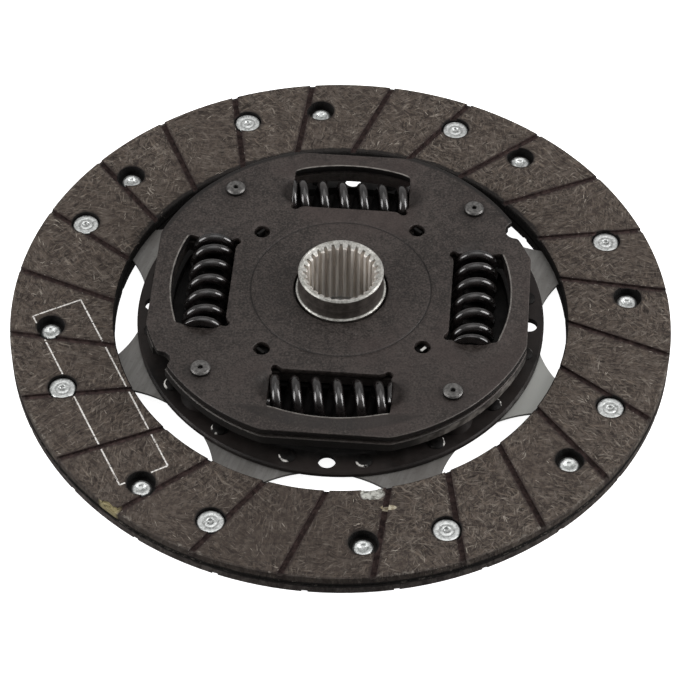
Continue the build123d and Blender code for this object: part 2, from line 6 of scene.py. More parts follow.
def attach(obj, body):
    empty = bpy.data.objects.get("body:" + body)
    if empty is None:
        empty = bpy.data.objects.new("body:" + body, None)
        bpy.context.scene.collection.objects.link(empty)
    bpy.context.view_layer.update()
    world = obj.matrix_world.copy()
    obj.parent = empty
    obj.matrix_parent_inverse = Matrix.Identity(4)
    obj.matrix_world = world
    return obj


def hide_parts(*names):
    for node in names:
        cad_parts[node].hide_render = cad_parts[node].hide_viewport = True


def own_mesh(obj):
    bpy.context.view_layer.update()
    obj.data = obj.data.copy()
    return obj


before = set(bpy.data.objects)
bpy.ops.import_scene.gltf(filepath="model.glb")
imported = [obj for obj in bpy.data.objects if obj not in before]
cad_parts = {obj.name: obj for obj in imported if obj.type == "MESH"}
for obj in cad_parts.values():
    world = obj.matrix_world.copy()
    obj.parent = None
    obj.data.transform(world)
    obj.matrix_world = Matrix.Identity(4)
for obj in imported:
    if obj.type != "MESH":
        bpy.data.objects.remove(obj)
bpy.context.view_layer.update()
scene = bpy.context.scene
MM = 0.001

# ------------------------------------------------------------- dimensions
PHI = 265.8
QUARTERS = [PHI + 90 * k for k in range(4)]
Z_FACE = 7.4
Z_MID = 13.1
Z_RET_TOP = 18.0
SPRING_TOPS = (0.87, 0.385, 0.87, 0.45)
GROOVE_R = 24.0
GROOVE_LEAN = degrees(acos(GROOVE_R / 100.0))
GROOVES = [5.5 + 15.0 * k + GROOVE_LEAN for k in range(24)]
RIVETS_TOP = [20.35 + 45 * k for k in range(8)]
RIVETS_BOT = [4.45 + 45 * k for k in range(8)]
RIVET_R = 87.7


# ---------------------------------------------------------- node helpers
class Mat:
    """A small builder for procedural materials."""

    def __init__(self, name):
        self.m = bpy.data.materials.new(name)
        self.m.use_nodes = True
        self.t = self.m.node_tree
        self.t.nodes.clear()
        self.out = self.t.nodes.new("ShaderNodeOutputMaterial")
        self.b = self.t.nodes.new("ShaderNodeBsdfPrincipled")
        self.t.links.new(self.b.outputs["BSDF"], self.out.inputs["Surface"])
        tc = self.t.nodes.new("ShaderNodeTexCoord")
        self.p = tc.outputs["Object"]
        self.nrm = tc.outputs["Normal"]
        sp = self.t.nodes.new("ShaderNodeSeparateXYZ")
        self.t.links.new(self.p, sp.inputs[0])
        self.x, self.y, self.z = sp.outputs[0], sp.outputs[1], sp.outputs[2]
        sn = self.t.nodes.new("ShaderNodeSeparateXYZ")
        self.t.links.new(self.nrm, sn.inputs[0])
        self.nx, self.ny, self.nz = sn.outputs[0], sn.outputs[1], sn.outputs[2]

    def put(self, socket, value):
        if isinstance(value, bpy.types.NodeSocket):
            self.t.links.new(value, socket)
        elif isinstance(value, (tuple, list)):
            n = len(socket.default_value)
            v = list(value) + [1.0] * (n - len(value))
            socket.default_value = v[:n]
        else:
            socket.default_value = value

    def math(self, op, a, b=0.0, c=0.0, clamp=False):
        n = self.t.nodes.new("ShaderNodeMath")
        n.operation = op
        n.use_clamp = clamp
        self.put(n.inputs[0], a)
        self.put(n.inputs[1], b)
        self.put(n.inputs[2], c)
        return n.outputs[0]

    def add(self, a, b):
        return self.math("ADD", a, b)

    def mul(self, a, b, clamp=False):
        return self.math("MULTIPLY", a, b, clamp=clamp)

    def inv(self, a):
        return self.math("SUBTRACT", 1.0, a, clamp=True)

    def top(self, a, b):
        return self.math("MAXIMUM", a, b)

    def vec(self, op, a, b=None, scale=None):
        n = self.t.nodes.new("ShaderNodeVectorMath")
        n.operation = op
        self.put(n.inputs[0], a)
        if b is not None:
            self.put(n.inputs[1], b)
        if scale is not None:
            self.put(n.inputs["Scale"], scale)
        return n.outputs["Value"] if op in ("LENGTH", "DOT_PRODUCT", "DISTANCE") else n.outputs[0]

    def xyz(self, x, y, z):
        n = self.t.nodes.new("ShaderNodeCombineXYZ")
        self.put(n.inputs[0], x)
        self.put(n.inputs[1], y)
        self.put(n.inputs[2], z)
        return n.outputs[0]

    def step(self, x, lo, hi, a=0.0, b=1.0):
        """Smooth step of x from lo to hi, giving a to b."""
        n = self.t.nodes.new("ShaderNodeMapRange")
        n.interpolation_type = "SMOOTHSTEP"
        n.clamp = True
        self.put(n.inputs["Value"], x)
        self.put(n.inputs["From Min"], lo)
        self.put(n.inputs["From Max"], hi)
        self.put(n.inputs["To Min"], a)
        self.put(n.inputs["To Max"], b)
        return n.outputs["Result"]

    def band(self, x, lo, hi, soft):
        return self.mul(self.step(x, lo - soft, lo + soft), self.step(x, hi - soft, hi + soft, 1.0, 0.0))

    def noise(self, scale, detail=3.0, rough=0.5, warp=0.0, vector=None, colour=False):
        n = self.t.nodes.new("ShaderNodeTexNoise")
        self.put(n.inputs["Vector"], self.p if vector is None else vector)
        n.inputs["Scale"].default_value = scale
        n.inputs["Detail"].default_value = detail
        n.inputs["Roughness"].default_value = rough
        n.inputs["Distortion"].default_value = warp
        return n.outputs["Color" if colour else "Fac"]

    def cells(self, scale, feature="F1", vector=None, out="Distance", rand=1.0):
        n = self.t.nodes.new("ShaderNodeTexVoronoi")
        n.feature = feature
        self.put(n.inputs["Vector"], self.p if vector is None else vector)
        n.inputs["Scale"].default_value = scale
        n.inputs["Randomness"].default_value = rand
        return n.outputs[out]

    def turned(self, angle, stretch=(1, 1, 1), vector=None, shift=(0, 0, 0)):
        n = self.t.nodes.new("ShaderNodeMapping")
        self.put(n.inputs["Vector"], self.p if vector is None else vector)
        n.inputs["Location"].default_value = shift
        n.inputs["Rotation"].default_value = (0, 0, radians(angle))
        m = self.t.nodes.new("ShaderNodeMapping")
        self.t.links.new(n.outputs[0], m.inputs["Vector"])
        m.inputs["Scale"].default_value = stretch
        return m.outputs[0]

    def mix(self, f, a, b, blend="MIX"):
        n = self.t.nodes.new("ShaderNodeMix")
        n.data_type = "RGBA"
        n.blend_type = blend
        n.clamp_factor = True
        self.put(n.inputs[0], f)
        self.put(n.inputs[6], a)
        self.put(n.inputs[7], b)
        return n.outputs[2]

    def mixf(self, f, a, b):
        n = self.t.nodes.new("ShaderNodeMix")
        n.data_type = "FLOAT"
        n.clamp_factor = True
        self.put(n.inputs[0], f)
        self.put(n.inputs[2], a)
        self.put(n.inputs[3], b)
        return n.outputs[0]

    def radius(self):
        return self.vec("LENGTH", self.xyz(self.x, self.y, 0.0))

    def near(self, x, y, reach, soft):
        """1 within reach of a point of the plan, in millimetres."""
        d = self.vec("LENGTH", self.xyz(self.math("SUBTRACT", self.x, x * MM), self.math("SUBTRACT", self.y, y * MM), 0.0))
        return self.step(d, (reach - soft) * MM, (reach + soft) * MM, 1.0, 0.0)

    def bump(self, height, distance, strength=1.0, under=None):
        n = self.t.nodes.new("ShaderNodeBump")
        n.inputs["Strength"].default_value = strength
        n.inputs["Distance"].default_value = distance
        self.put(n.inputs["Height"], height)
        if under is not None:
            self.put(n.inputs["Normal"], under)
        return n.outputs[0]

    def done(self, color, rough, metal=0.0, normal=None, spec=0.5, coat=0.0, coat_rough=0.1, ior=1.5, sheen=0.0):
        b = self.b
        self.put(b.inputs["Base Color"], color)
        self.put(b.inputs["Roughness"], rough)
        self.put(b.inputs["Metallic"], metal)
        b.inputs["Specular IOR Level"].default_value = spec
        b.inputs["Coat Weight"].default_value = coat
        b.inputs["Coat Roughness"].default_value = coat_rough
        b.inputs["IOR"].default_value = ior
        b.inputs["Sheen Weight"].default_value = sheen
        if normal is not None:
            self.t.links.new(normal, b.inputs["Normal"])
        return self.m


# -------------------------------------------------------------- materials
def lining():
    """Moulded woven lining: dark brown, swirling light and dark strokes, dark red-brown grooves."""
    m = Mat("lining")
    r = m.radius()
    warpv = m.vec("SCALE", m.vec("SUBTRACT", m.noise(95, 2, colour=True), (0.5, 0.5, 0.5)), scale=0.0045)
    pw = m.vec("ADD", m.p, warpv)
    grain = m.noise(1000, 5, 0.65)
    patch = m.noise(70, 4, 0.6)
    patch2 = m.noise(430, 4, 0.65)
    base = m.mix(m.step(grain, 0.34, 0.68), (0.036, 0.0265, 0.0220), (0.091, 0.0712, 0.0580))
    base = m.mix(m.mul(m.step(patch, 0.35, 0.68), 0.45), base, (0.066, 0.052, 0.0425), "MIX")
    base = m.mix(m.mul(m.step(patch2, 0.46, 0.64), 0.70), base, (0.108, 0.089, 0.075))
    base = m.mix(m.mul(m.step(m.noise(470, 4, 0.65, vector=m.turned(33, (1, 1, 1))), 0.47, 0.37), 0.62), base, (0.026, 0.0185, 0.0150))
    light = None
    dark = None
    for i, (a, s, zone) in enumerate(((8, 265, 0.0), (52, 235, 0.31), (97, 280, 0.57), (143, 245, 0.83))):
        v = m.turned(a, (1, 5.6, 1), pw, (0.013 * i, 0.017 * i, 0))
        streak = m.noise(s, 2.5, 0.6, vector=v)
        # each lie of the strokes keeps to its own patches
        lie = m.step(m.noise(34, 2, 0.5, vector=m.vec("ADD", m.p, (zone, zone * 0.7, 0.0))), 0.40, 0.56)
        on = m.mul(m.step(streak, 0.56, 0.70), lie)
        off = m.mul(m.step(streak, 0.44, 0.30), lie)
        light = on if light is None else m.top(light, on)
        dark = off if dark is None else m.top(dark, off)
    tint = m.mix(m.step(m.noise(420, 2), 0.4, 0.62), (0.150, 0.119, 0.094), (0.215, 0.186, 0.157))
    col = m.mix(m.mul(dark, 0.95), base, (0.0165, 0.0115, 0.0092))
    col = m.mix(m.mul(light, 0.85), col, tint)
    specks = m.mul(m.step(m.noise(760, 3, 0.6, vector=pw), 0.69, 0.76), 0.8)
    col = m.mix(specks, col, (0.26, 0.235, 0.205))
    # soft broken margins beside the grooves
    theta = m.math("ARCTAN2", m.y, m.x)
    lean = m.math("ARCCOSINE", m.math("DIVIDE", GROOVE_R * MM, m.top(r, 0.06)))
    flip = m.step(m.z, 0.00369, 0.00371, -1.0, 1.0)
    around = m.add(m.mul(theta, flip), lean)
    shifted = m.math("SUBTRACT", around, radians(GROOVES[0]))
    fold = m.math("PINGPONG", m.math("ADD", shifted, radians(15 * 48)), radians(7.5))
    # the fold is zero on every second groove line and full on the ones between
    away = m.math("MINIMUM", fold, m.math("SUBTRACT", radians(15.0), fold))
    wide = m.mul(away, m.math("SQRT", m.top(m.math("SUBTRACT", m.mul(r, r), (GROOVE_R * MM) ** 2), 0.0)))
    ragged = m.add(wide, m.mul(m.math("SUBTRACT", m.noise(420, 4, 0.65), 0.5), 0.0024))
    margin = m.step(ragged, 0.0008, 0.00175, 1.0, 0.0)
    col = m.mix(m.mul(margin, 0.85), col, (0.029, 0.0195, 0.0175))
    crumbs = m.mul(m.band(wide, 0.0007, 0.0012, 0.0001), m.step(m.noise(1000, 3, 0.6), 0.62, 0.67))
    col = m.mix(m.mul(crumbs, 0.8), col, (0.25, 0.225, 0.195))
    # painted shade: the lining's face darker towards the front, around 262 degrees
    low = m.math("DIVIDE", m.add(m.mul(m.x, cos(radians(262))), m.mul(m.y, sin(radians(262)))), m.top(r, 0.001))
    col = m.mix(m.step(low, 0.90, 0.985, 0.0, 0.30), col, (0.026, 0.0180, 0.0145))
    # painted shadow of the cover plate: a black margin along the back part of the bore
    margin_r = m.add(r, m.mul(m.math("SUBTRACT", m.noise(260, 4, 0.65), 0.5), 0.0018))
    far_side_shade = m.mul(m.step(margin_r, 0.0699, 0.0707, 1.0, 0.0), m.step(m.y, 0.016, 0.040))
    col = m.mix(m.mul(far_side_shade, 0.9), col, (0.0085, 0.0070, 0.0066))
    hole = None
    for first in (RIVETS_TOP[0], RIVETS_BOT[0]):
        t = m.math("SUBTRACT", theta, radians(first - 45 * 17))
        t = m.math("SUBTRACT", m.math("MODULO", m.add(t, radians(22.5)), radians(45)), radians(22.5))
        dx = m.math("SUBTRACT", m.mul(r, m.math("COSINE", t)), RIVET_R * MM)
        d = m.vec("LENGTH", m.xyz(dx, m.mul(r, m.math("SINE", t)), 0.0))
        hole = d if hole is None else m.math("MINIMUM", hole, d)
    shade = m.step(m.add(hole, m.mul(m.math("SUBTRACT", m.noise(380, 4, 0.6), 0.5), 0.0012)), 0.00435, 0.0053, 1.0, 0.0)
    col = m.mix(m.mul(shade, 0.72), col, (0.013, 0.0100, 0.0090))
    up = m.step(m.math("ABSOLUTE", m.nz), 0.75, 0.95)
    level = m.math("ABSOLUTE", m.math("SUBTRACT", m.math("ABSOLUTE", m.math("SUBTRACT", m.z, 0.0037)), 0.0037))
    face = m.mul(up, m.step(level, 0.00006, 0.0002, 1.0, 0.0))
    # walls and floors of grooves and holes
    pit = m.mix(m.step(m.noise(600, 4, 0.6), 0.35, 0.7), (0.021, 0.0118, 0.0108), (0.060, 0.0375, 0.034))
    # painted shade: the pits darker deeper down, and the rivet-hole walls near black
    pit = m.mix(m.step(m.z, 0.0052, 0.0062, 0.9, 0.0), pit, (0.006, 0.0052, 0.0050))
    pit = m.mix(m.step(hole, 0.0045, 0.0047, 0.93, 0.0), pit, (0.0045, 0.0042, 0.0040))
    # outer and inner rims
    rim = m.step(r, 0.0990, 0.0994)
    bore = m.step(r, 0.0694, 0.0690)
    side = m.noise(620, 5, 0.68, vector=m.turned(0, (1, 1, 0.45)))
    wall = m.mix(m.step(side, 0.34, 0.66), (0.042, 0.034, 0.031), (0.110, 0.096, 0.088))
    wall = m.mix(m.mul(m.step(m.noise(240, 3), 0.50, 0.64), 0.6), wall, (0.034, 0.027, 0.025))
    upper = m.step(m.z, 0.0040, 0.0042)
    wall = m.mix(m.mul(upper, 0.65), wall, col)
    # painted shade: the inner wall of the bore darkened to near black
    wall = m.mix(m.mul(bore, 0.9), wall, (0.0075, 0.0062, 0.0058))
    # the dark joint between the two linings, wider here and narrower there
    ragged_z = m.add(m.math("ABSOLUTE", m.math("SUBTRACT", m.z, 0.0038)), m.mul(m.math("SUBTRACT", m.noise(260, 4, 0.65), 0.5), 0.0011))
    joint = m.step(ragged_z, 0.00075, 0.00125, 1.0, 0.0)
    wall = m.mix(m.mul(joint, 0.92), wall, (0.0075, 0.0065, 0.006))
    bright = m.mul(m.mul(m.step(m.noise(900, 3, 0.6), 0.62, 0.68), m.step(m.noise(60, 2, 0.5), 0.5, 0.6)), upper)
    wall = m.mix(m.mul(bright, 0.8), wall, (0.30, 0.27, 0.235))
    off_face = m.mix(m.top(rim, bore), pit, wall)
    col = m.mix(face, off_face, col)
    # rubbed outer corner
    worn = m.mul(m.step(r, 0.0986, 0.0997), m.mul(m.step(m.noise(700, 5, 0.7), 0.50, 0.62), m.step(m.noise(48, 2, 0.5), 0.46, 0.58)))
    col = m.mix(m.mul(worn, m.mul(m.step(m.math("ABSOLUTE", m.nz), 0.3, 0.5), 0.8)), col, (0.21, 0.19, 0.165))
    # the two chips
    up_only = m.step(m.z, 0.0041, 0.0046)
    jag = m.mul(m.math("SUBTRACT", m.noise(330, 4, 0.6), 0.5), 0.0034)
    d1 = m.vec("LENGTH", m.xyz(m.math("SUBTRACT", m.x, 0.00925), m.mul(m.add(m.y, 0.0693), 1.15), 0.0))
    c1 = m.mul(m.step(m.add(d1, jag), 0.0029, 0.0036, 1.0, 0.0), up_only)
    pale = m.mix(m.step(m.noise(640, 4, 0.7), 0.40, 0.60), (0.17, 0.168, 0.148), (0.60, 0.60, 0.555))
    col = m.mix(m.mul(c1, 0.93), col, pale)
    d3 = m.vec("LENGTH", m.xyz(m.math("SUBTRACT", m.x, 0.0142), m.mul(m.add(m.y, 0.0749), 2.6), 0.0))
    c3 = m.mul(m.step(m.add(d3, m.mul(jag, 0.35)), 0.0020, 0.0025, 1.0, 0.0), up_only)
    col = m.mix(m.mul(c3, 0.9), col, m.mix(m.step(m.noise(800, 3), 0.4, 0.6), (0.28, 0.235, 0.155), (0.52, 0.47, 0.36)))
    c2 = m.mul(m.near(-65.9, -74.9, 3.4, 0.8), up_only)
    col = m.mix(m.mul(c2, m.step(m.z, 0.0073, 0.0071)), col, (0.33, 0.285, 0.16))
    h = m.add(m.mul(light, 0.6), m.add(m.mul(grain, 0.9), m.mul(patch2, 0.6)))
    h = m.add(h, m.mul(dark, -0.6))
    bump = m.bump(h, 0.00030, 0.85)
    rough = m.mixf(grain, 0.72, 0.92)
    return m.done(col, rough, 0.0, bump, spec=0.27)


def phosphate(name, dark=(0.0165, 0.0128, 0.0112), light=(0.0640, 0.0515, 0.0465), rough=0.5, band=False):
    """Dark mottled phosphate on pressed steel, with painted light and shade on its edges."""
    m = Mat(name)
    r = m.radius()
    fine = m.noise(1500, 3, 0.7)
    mid = m.noise(420, 5, 0.6)
    wide = m.noise(38, 4, 0.6)
    f = m.add(m.mul(fine, 0.56), m.add(m.mul(mid, 0.28), m.mul(wide, 0.16)))
    col = m.mix(m.step(f, 0.40, 0.60), dark, light)
    col = m.mix(m.mul(m.step(m.noise(1000, 2, 0.5), 0.60, 0.70), 0.50), col, (0.100, 0.089, 0.081))
    col = m.mix(m.mul(m.step(m.noise(850, 2, 0.5), 0.40, 0.30), 0.55), col, (0.0155, 0.0120, 0.0108))
    warm = m.mul(m.step(m.noise(26, 3, 0.6), 0.52, 0.68), 0.5)
    col = m.mix(warm, col, (0.050, 0.0355, 0.0325))
    metal = 0.25
    rr = m.mixf(m.step(mid, 0.3, 0.7), rough - 0.06, rough + 0.14)
    if band:
        # painted light on the flange's outer edge: painted shade under the cover plate, with its lower band painted as
        # a reflection of the right lamp towards the lower right
        low_right = m.math("DIVIDE", m.add(m.mul(m.x, cos(radians(315))), m.mul(m.y, sin(radians(315)))), m.top(r, 0.001))
        arc = m.step(low_right, 0.90, 0.975)
        edge = m.mul(m.step(r, 0.0560, 0.0564), m.step(m.math("ABSOLUTE", m.nz), 0.7, 0.5))
        low = m.mul(edge, m.mul(m.step(m.add(m.z, m.mul(m.math("SUBTRACT", m.noise(210, 4, 0.6), 0.5), 0.0016)), 0.0146, 0.0141), m.step(m.noise(170, 3, 0.6), 0.30, 0.55, 0.35, 1.0)))
        streak = m.noise(330, 4, 0.62)
        steel = m.mix(m.step(streak, 0.35, 0.65), (0.060, 0.052, 0.046), (0.190, 0.172, 0.155))
        col = m.mix(m.mul(m.mul(low, arc), 0.95), m.mix(m.mul(edge, 0.9), col, (0.010, 0.0088, 0.0082)), steel)
    else:
        # painted shade with some oil gathered at the pins and behind the window ends, and painted shade on the slope
        # outside the near window's lip
        oil_and_painted_shade = None
        for q in QUARTERS:
            a = radians(q + 42.9)
            spot = m.mul(m.near(52.4 * cos(a) - 0.5, 52.4 * sin(a) - 0.8, 4.2, 2.2), 0.62)
            oil_and_painted_shade = spot if oil_and_painted_shade is None else m.top(oil_and_painted_shade, spot)
            c, s = cos(radians(q)), sin(radians(q))
            for e in (-18.8, 18.8):
                oil_and_painted_shade = m.top(oil_and_painted_shade, m.mul(m.near(39 * c - e * s, 39 * s + e * c, 4.6, 2.6), 0.5))
        near_lip = m.mul(m.band(r, 0.0514, 0.0552, 0.0006), m.step(m.add(m.mul(m.x, -cos(radians(PHI))), m.mul(m.y, -sin(radians(PHI)))), -0.047, -0.0485))
        oil_and_painted_shade = m.mul(oil_and_painted_shade, m.step(m.noise(150, 3, 0.6), 0.30, 0.62))
        oil_and_painted_shade = m.top(oil_and_painted_shade, m.mul(near_lip, 0.6))
        col = m.mix(oil_and_painted_shade, col, (0.0145, 0.0115, 0.0105))
        # painted highlights on the corners: the raised window lips and the outline, the outline's strongest towards the
        # lower right
        broken = m.step(m.noise(520, 4, 0.65), 0.30, 0.60, 0.35, 1.0)
        turned_over = m.mul(m.step(m.math("ABSOLUTE", m.nz), 0.95, 0.82), m.step(m.math("ABSOLUTE", m.nz), 0.35, 0.5))
        # painted shade: the sheet's outer side walls darkened to near black
        sheet_edge = m.mul(m.step(m.math("ABSOLUTE", m.nz), 0.55, 0.30), m.step(r, 0.0545, 0.0552))
        col = m.mix(m.mul(sheet_edge, 0.92), col, (0.0085, 0.0072, 0.0068))
        lip = m.mul(m.step(m.z, 0.01825, 0.01845), m.band(r, 0.05085, 0.05140, 0.0001))
        rim = m.mul(m.mul(m.step(m.z, 0.0174, 0.0176), turned_over), m.step(r, 0.0556, 0.0559))
        toward = m.math("DIVIDE", m.add(m.mul(m.x, cos(radians(310))), m.mul(m.y, sin(radians(310)))), m.top(r, 0.001))
        rim = m.mul(rim, m.step(toward, 0.55, 0.92, 0.04, 0.30))
        outward = m.math("DIVIDE", m.add(m.mul(m.nx, m.x), m.mul(m.ny, m.y)), m.top(r, 0.001))
        # painted shade: the inner walls of the window lips darkened to near black
        inner_wall = m.mul(m.step(outward, -0.50, -0.72), m.band(r, 0.0485, 0.0530, 0.0003))
        col = m.mix(m.mul(inner_wall, 0.93), col, (0.0060, 0.0052, 0.0050))
        # painted shade: the outline's rim darkened on the back side
        far_side_shade = m.mul(m.step(m.add(r, m.mul(m.math("SUBTRACT", m.noise(300, 4, 0.6), 0.5), 0.0010)), 0.0578, 0.0586), m.step(m.y, 0.010, 0.030))
        col = m.mix(m.mul(far_side_shade, 0.85), col, (0.0100, 0.0084, 0.0078))
        # painted shade: the plate darker towards the front
        col = m.mix(m.step(m.y, 0.030, -0.050, 0.0, 0.20), col, (0.0165, 0.0128, 0.0112))
        # painted highlight on the lip edges and the outline's rim, broken up by noise
        painted_edge_highlight = m.mul(m.top(m.mul(lip, m.step(outward, -0.85, -0.70)), rim), broken)
        col = m.mix(painted_edge_highlight, col, (0.200, 0.185, 0.170))
        # painted shade in the groove of the pressed ring
        ring = m.math("ABSOLUTE", m.math("SUBTRACT", r, 0.0271))
        col = m.mix(m.mul(m.step(ring, 0.00012, 0.00034, 1.0, 0.0), m.mul(m.step(m.math("ABSOLUTE", m.nz), 0.5, 0.7), 0.75)), col, (0.011, 0.0088, 0.008))
    bump = m.bump(m.add(m.mul(fine, 0.7), mid), 0.00012, 0.8)
    return m.done(col, rr, metal, bump, spec=0.40)


def black_steel(name="black_steel", rough=0.48):
    m = Mat(name)
    r = m.radius()
    mid = m.noise(500, 4, 0.6)
    fine = m.noise(1700, 3, 0.6)
    col = m.mix(m.step(mid, 0.35, 0.7), (0.0030, 0.0027, 0.0025), (0.0085, 0.0072, 0.0066))
    col = m.mix(m.mul(m.step(fine, 0.5, 0.7), 0.3), col, (0.017, 0.0138, 0.0126))
    # the flat rim is browner than the oily pressed middle
    rim = m.mul(m.step(r, 0.0545, 0.0590), m.step(m.noise(60, 3, 0.6), 0.25, 0.6))
    col = m.mix(m.mul(rim, 0.6), col, (0.029, 0.0225, 0.0205))
    col = m.mix(m.mul(m.step(m.noise(800, 4, 0.7), 0.66, 0.74), 0.5), col, (0.05, 0.044, 0.040))
    rr = m.mixf(m.step(m.noise(160, 4, 0.6), 0.35, 0.65), rough - 0.06, rough + 0.18)
    bump = m.bump(m.add(m.mul(fine, 0.4), mid), 0.00009, 0.5)
    return m.done(col, rr, 0.1, bump, spec=0.22)


def black_rivet():
    """Domed black heads, with a painted highlight at their feet on the near side."""
    m = Mat("black_rivet")
    mid = m.noise(900, 4, 0.6)
    col = m.mix(m.step(mid, 0.35, 0.7), (0.003, 0.0026, 0.0024), (0.0095, 0.0080, 0.0074))
    theta = m.math("ARCTAN2", m.y, m.x)
    t = m.math("SUBTRACT", theta, radians(PHI + 11.25 - 22.5 * 33))
    t = m.math("SUBTRACT", m.math("MODULO", m.add(t, radians(11.25)), radians(22.5)), radians(11.25))
    r = m.radius()
    dx = m.math("SUBTRACT", m.mul(r, m.math("COSINE", t)), 0.0573)
    d = m.vec("LENGTH", m.xyz(dx, m.mul(r, m.math("SINE", t)), 0.0))
    across = m.mul(r, m.math("SINE", t))
    left = m.step(m.add(m.mul(dx, 0.88), m.mul(across, -0.47)), 0.0013, 0.0018)
    right = m.step(m.add(m.mul(dx, 0.45), m.mul(across, 0.89)), 0.0017, 0.0020)
    side = m.mixf(m.step(m.x, 0.020, 0.028), left, right)
    # painted highlight: a bright crescent at the foot of each head, on its lit side, near side only
    painted_foot_highlight = m.mul(m.band(d, 0.00205, 0.00250, 0.00010), m.step(m.noise(520, 3, 0.6), 0.36, 0.50))
    painted_foot_highlight = m.mul(m.mul(painted_foot_highlight, side), m.step(m.y, -0.012, -0.024))
    col = m.mix(painted_foot_highlight, col, (0.62, 0.60, 0.57))
    return m.done(col, m.mixf(mid, 0.52, 0.68), 0.05, m.bump(mid, 0.00012, 0.7), spec=0.14)


def oiled_spring():
    m = Mat("oiled_spring")
    fine = m.noise(2600, 3, 0.6)
    mid = m.noise(420, 3, 0.6)
    col = m.mix(m.step(mid, 0.35, 0.7), (0.0060, 0.0048, 0.0047), (0.021, 0.0165, 0.0160))
    rr = m.mixf(m.step(m.noise(650, 4, 0.6), 0.35, 0.65), 0.19, 0.34)
    bump = m.bump(m.add(fine, m.mul(mid, 1.5)), 0.00006, 0.38)
    return m.done(col, rr, 0.35, bump, spec=0.7, coat=0.85, coat_rough=0.13)


def spring_painted_shade():
    """The coils' lower halves: a darker, duller copy of the spring finish, as painted shade in the bottom of their
    pockets.
    """
    m = Mat("spring_painted_shade")
    mid = m.noise(420, 3, 0.6)
    col = m.mix(m.step(mid, 0.35, 0.7), (0.0035, 0.0030, 0.0029), (0.0085, 0.0072, 0.0070))
    return m.done(col, m.mixf(mid, 0.6, 0.8), 0.0, m.bump(mid, 0.00006, 0.4), spec=0.12)


def rivet(name, dull=0.0, phase=None, shade_strength=1.0):
    """Zinc on formed rivets, with painted shade in the hollows, the rings and round the skirts."""
    m = Mat(name)
    fine = m.noise(3000, 3, 0.6)
    mid = m.noise(1100, 4, 0.6)
    a = 0.56 - 0.24 * dull
    b = 0.88 - 0.36 * dull
    col = m.mix(m.step(mid, 0.32, 0.68), (a * 0.97, a, a * 0.985), (b * 0.985, b, b * 0.99))
    col = m.mix(m.mul(m.step(m.noise(1500, 4, 0.7), 0.60, 0.68), 0.6), col, (0.20, 0.195, 0.185))
    if phase is not None:
        theta = m.math("ARCTAN2", m.y, m.x)
        step = radians(45)
        t = m.math("SUBTRACT", theta, radians(phase) - step * 17)
        t = m.math("SUBTRACT", m.math("MODULO", m.add(t, step / 2), step), step / 2)
        r = m.radius()
        dx = m.math("SUBTRACT", m.mul(r, m.math("COSINE", t)), RIVET_R * MM)
        dy = m.mul(r, m.math("SINE", t))
        d = m.vec("LENGTH", m.xyz(dx, dy, 0.0))
        hollow = m.step(d, 0.00075, 0.00115, 1.0, 0.0)
        ring = m.band(d, 0.00195, 0.00235, 0.0001)
        skirt = m.step(d, 0.0037, 0.0040)
        # painted shade in the hollow, the ring and round the skirt
        painted_recess_shade = m.top(m.mul(ring, 0.35), m.mul(skirt, 0.5))
        painted_recess_shade = m.top(painted_recess_shade, m.mul(hollow, 0.55))
        painted_recess_shade = m.mul(painted_recess_shade, m.step(m.noise(1700, 3, 0.6), 0.25, 0.6, 0.5 * shade_strength, shade_strength))
        col = m.mix(painted_recess_shade, col, (0.045, 0.042, 0.038))
    rr = m.mixf(m.step(mid, 0.3, 0.7), 0.26 + 0.12 * dull, 0.46 + 0.1 * dull)
    bump = m.bump(m.add(m.mul(fine, 0.5), mid), 0.00016, 0.85)
    return m.done(col, rr, 0.9, bump, spec=0.5)


def spring_strip(turn=20.0):
    """Rolled spring steel of the cushion segments: dull grey with faint rolling lines."""
    m = Mat("spring_strip")
    r = m.radius()
    roll = m.noise(900, 4, 0.6, vector=m.turned(turn, (1, 0.10, 1)))
    wide = m.noise(45, 4, 0.6)
    col = m.mix(m.step(roll, 0.3, 0.7), (0.185, 0.178, 0.168), (0.245, 0.238, 0.228))
    col = m.mix(m.mul(m.step(wide, 0.42, 0.7), 0.5), col, (0.135, 0.122, 0.112))
    col = m.mix(m.mul(m.step(m.noise(900, 4, 0.6), 0.56, 0.68), 0.3), col, (0.10, 0.09, 0.083))
    # painted light: the strip lighter towards the lower right, on the side the right lamp lights
    painted_lit_side = m.mul(m.step(m.x, 0.022, 0.058), m.step(m.y, 0.006, -0.022))
    col = m.mix(m.mul(painted_lit_side, 0.75), col, (0.50, 0.505, 0.480))
    # painted shade: under the linings and round the rivet tails the strip is darkened to near black
    col = m.mix(m.step(r, 0.0702, 0.0716), col, (0.012, 0.0105, 0.0098))
    rr = m.mixf(roll, 0.42, 0.58)
    bump = m.bump(m.add(m.mul(roll, 0.6), m.mul(m.noise(1800, 2), 0.5)), 0.00005, 0.4)
    return m.done(col, rr, 0.55, bump, spec=0.45)


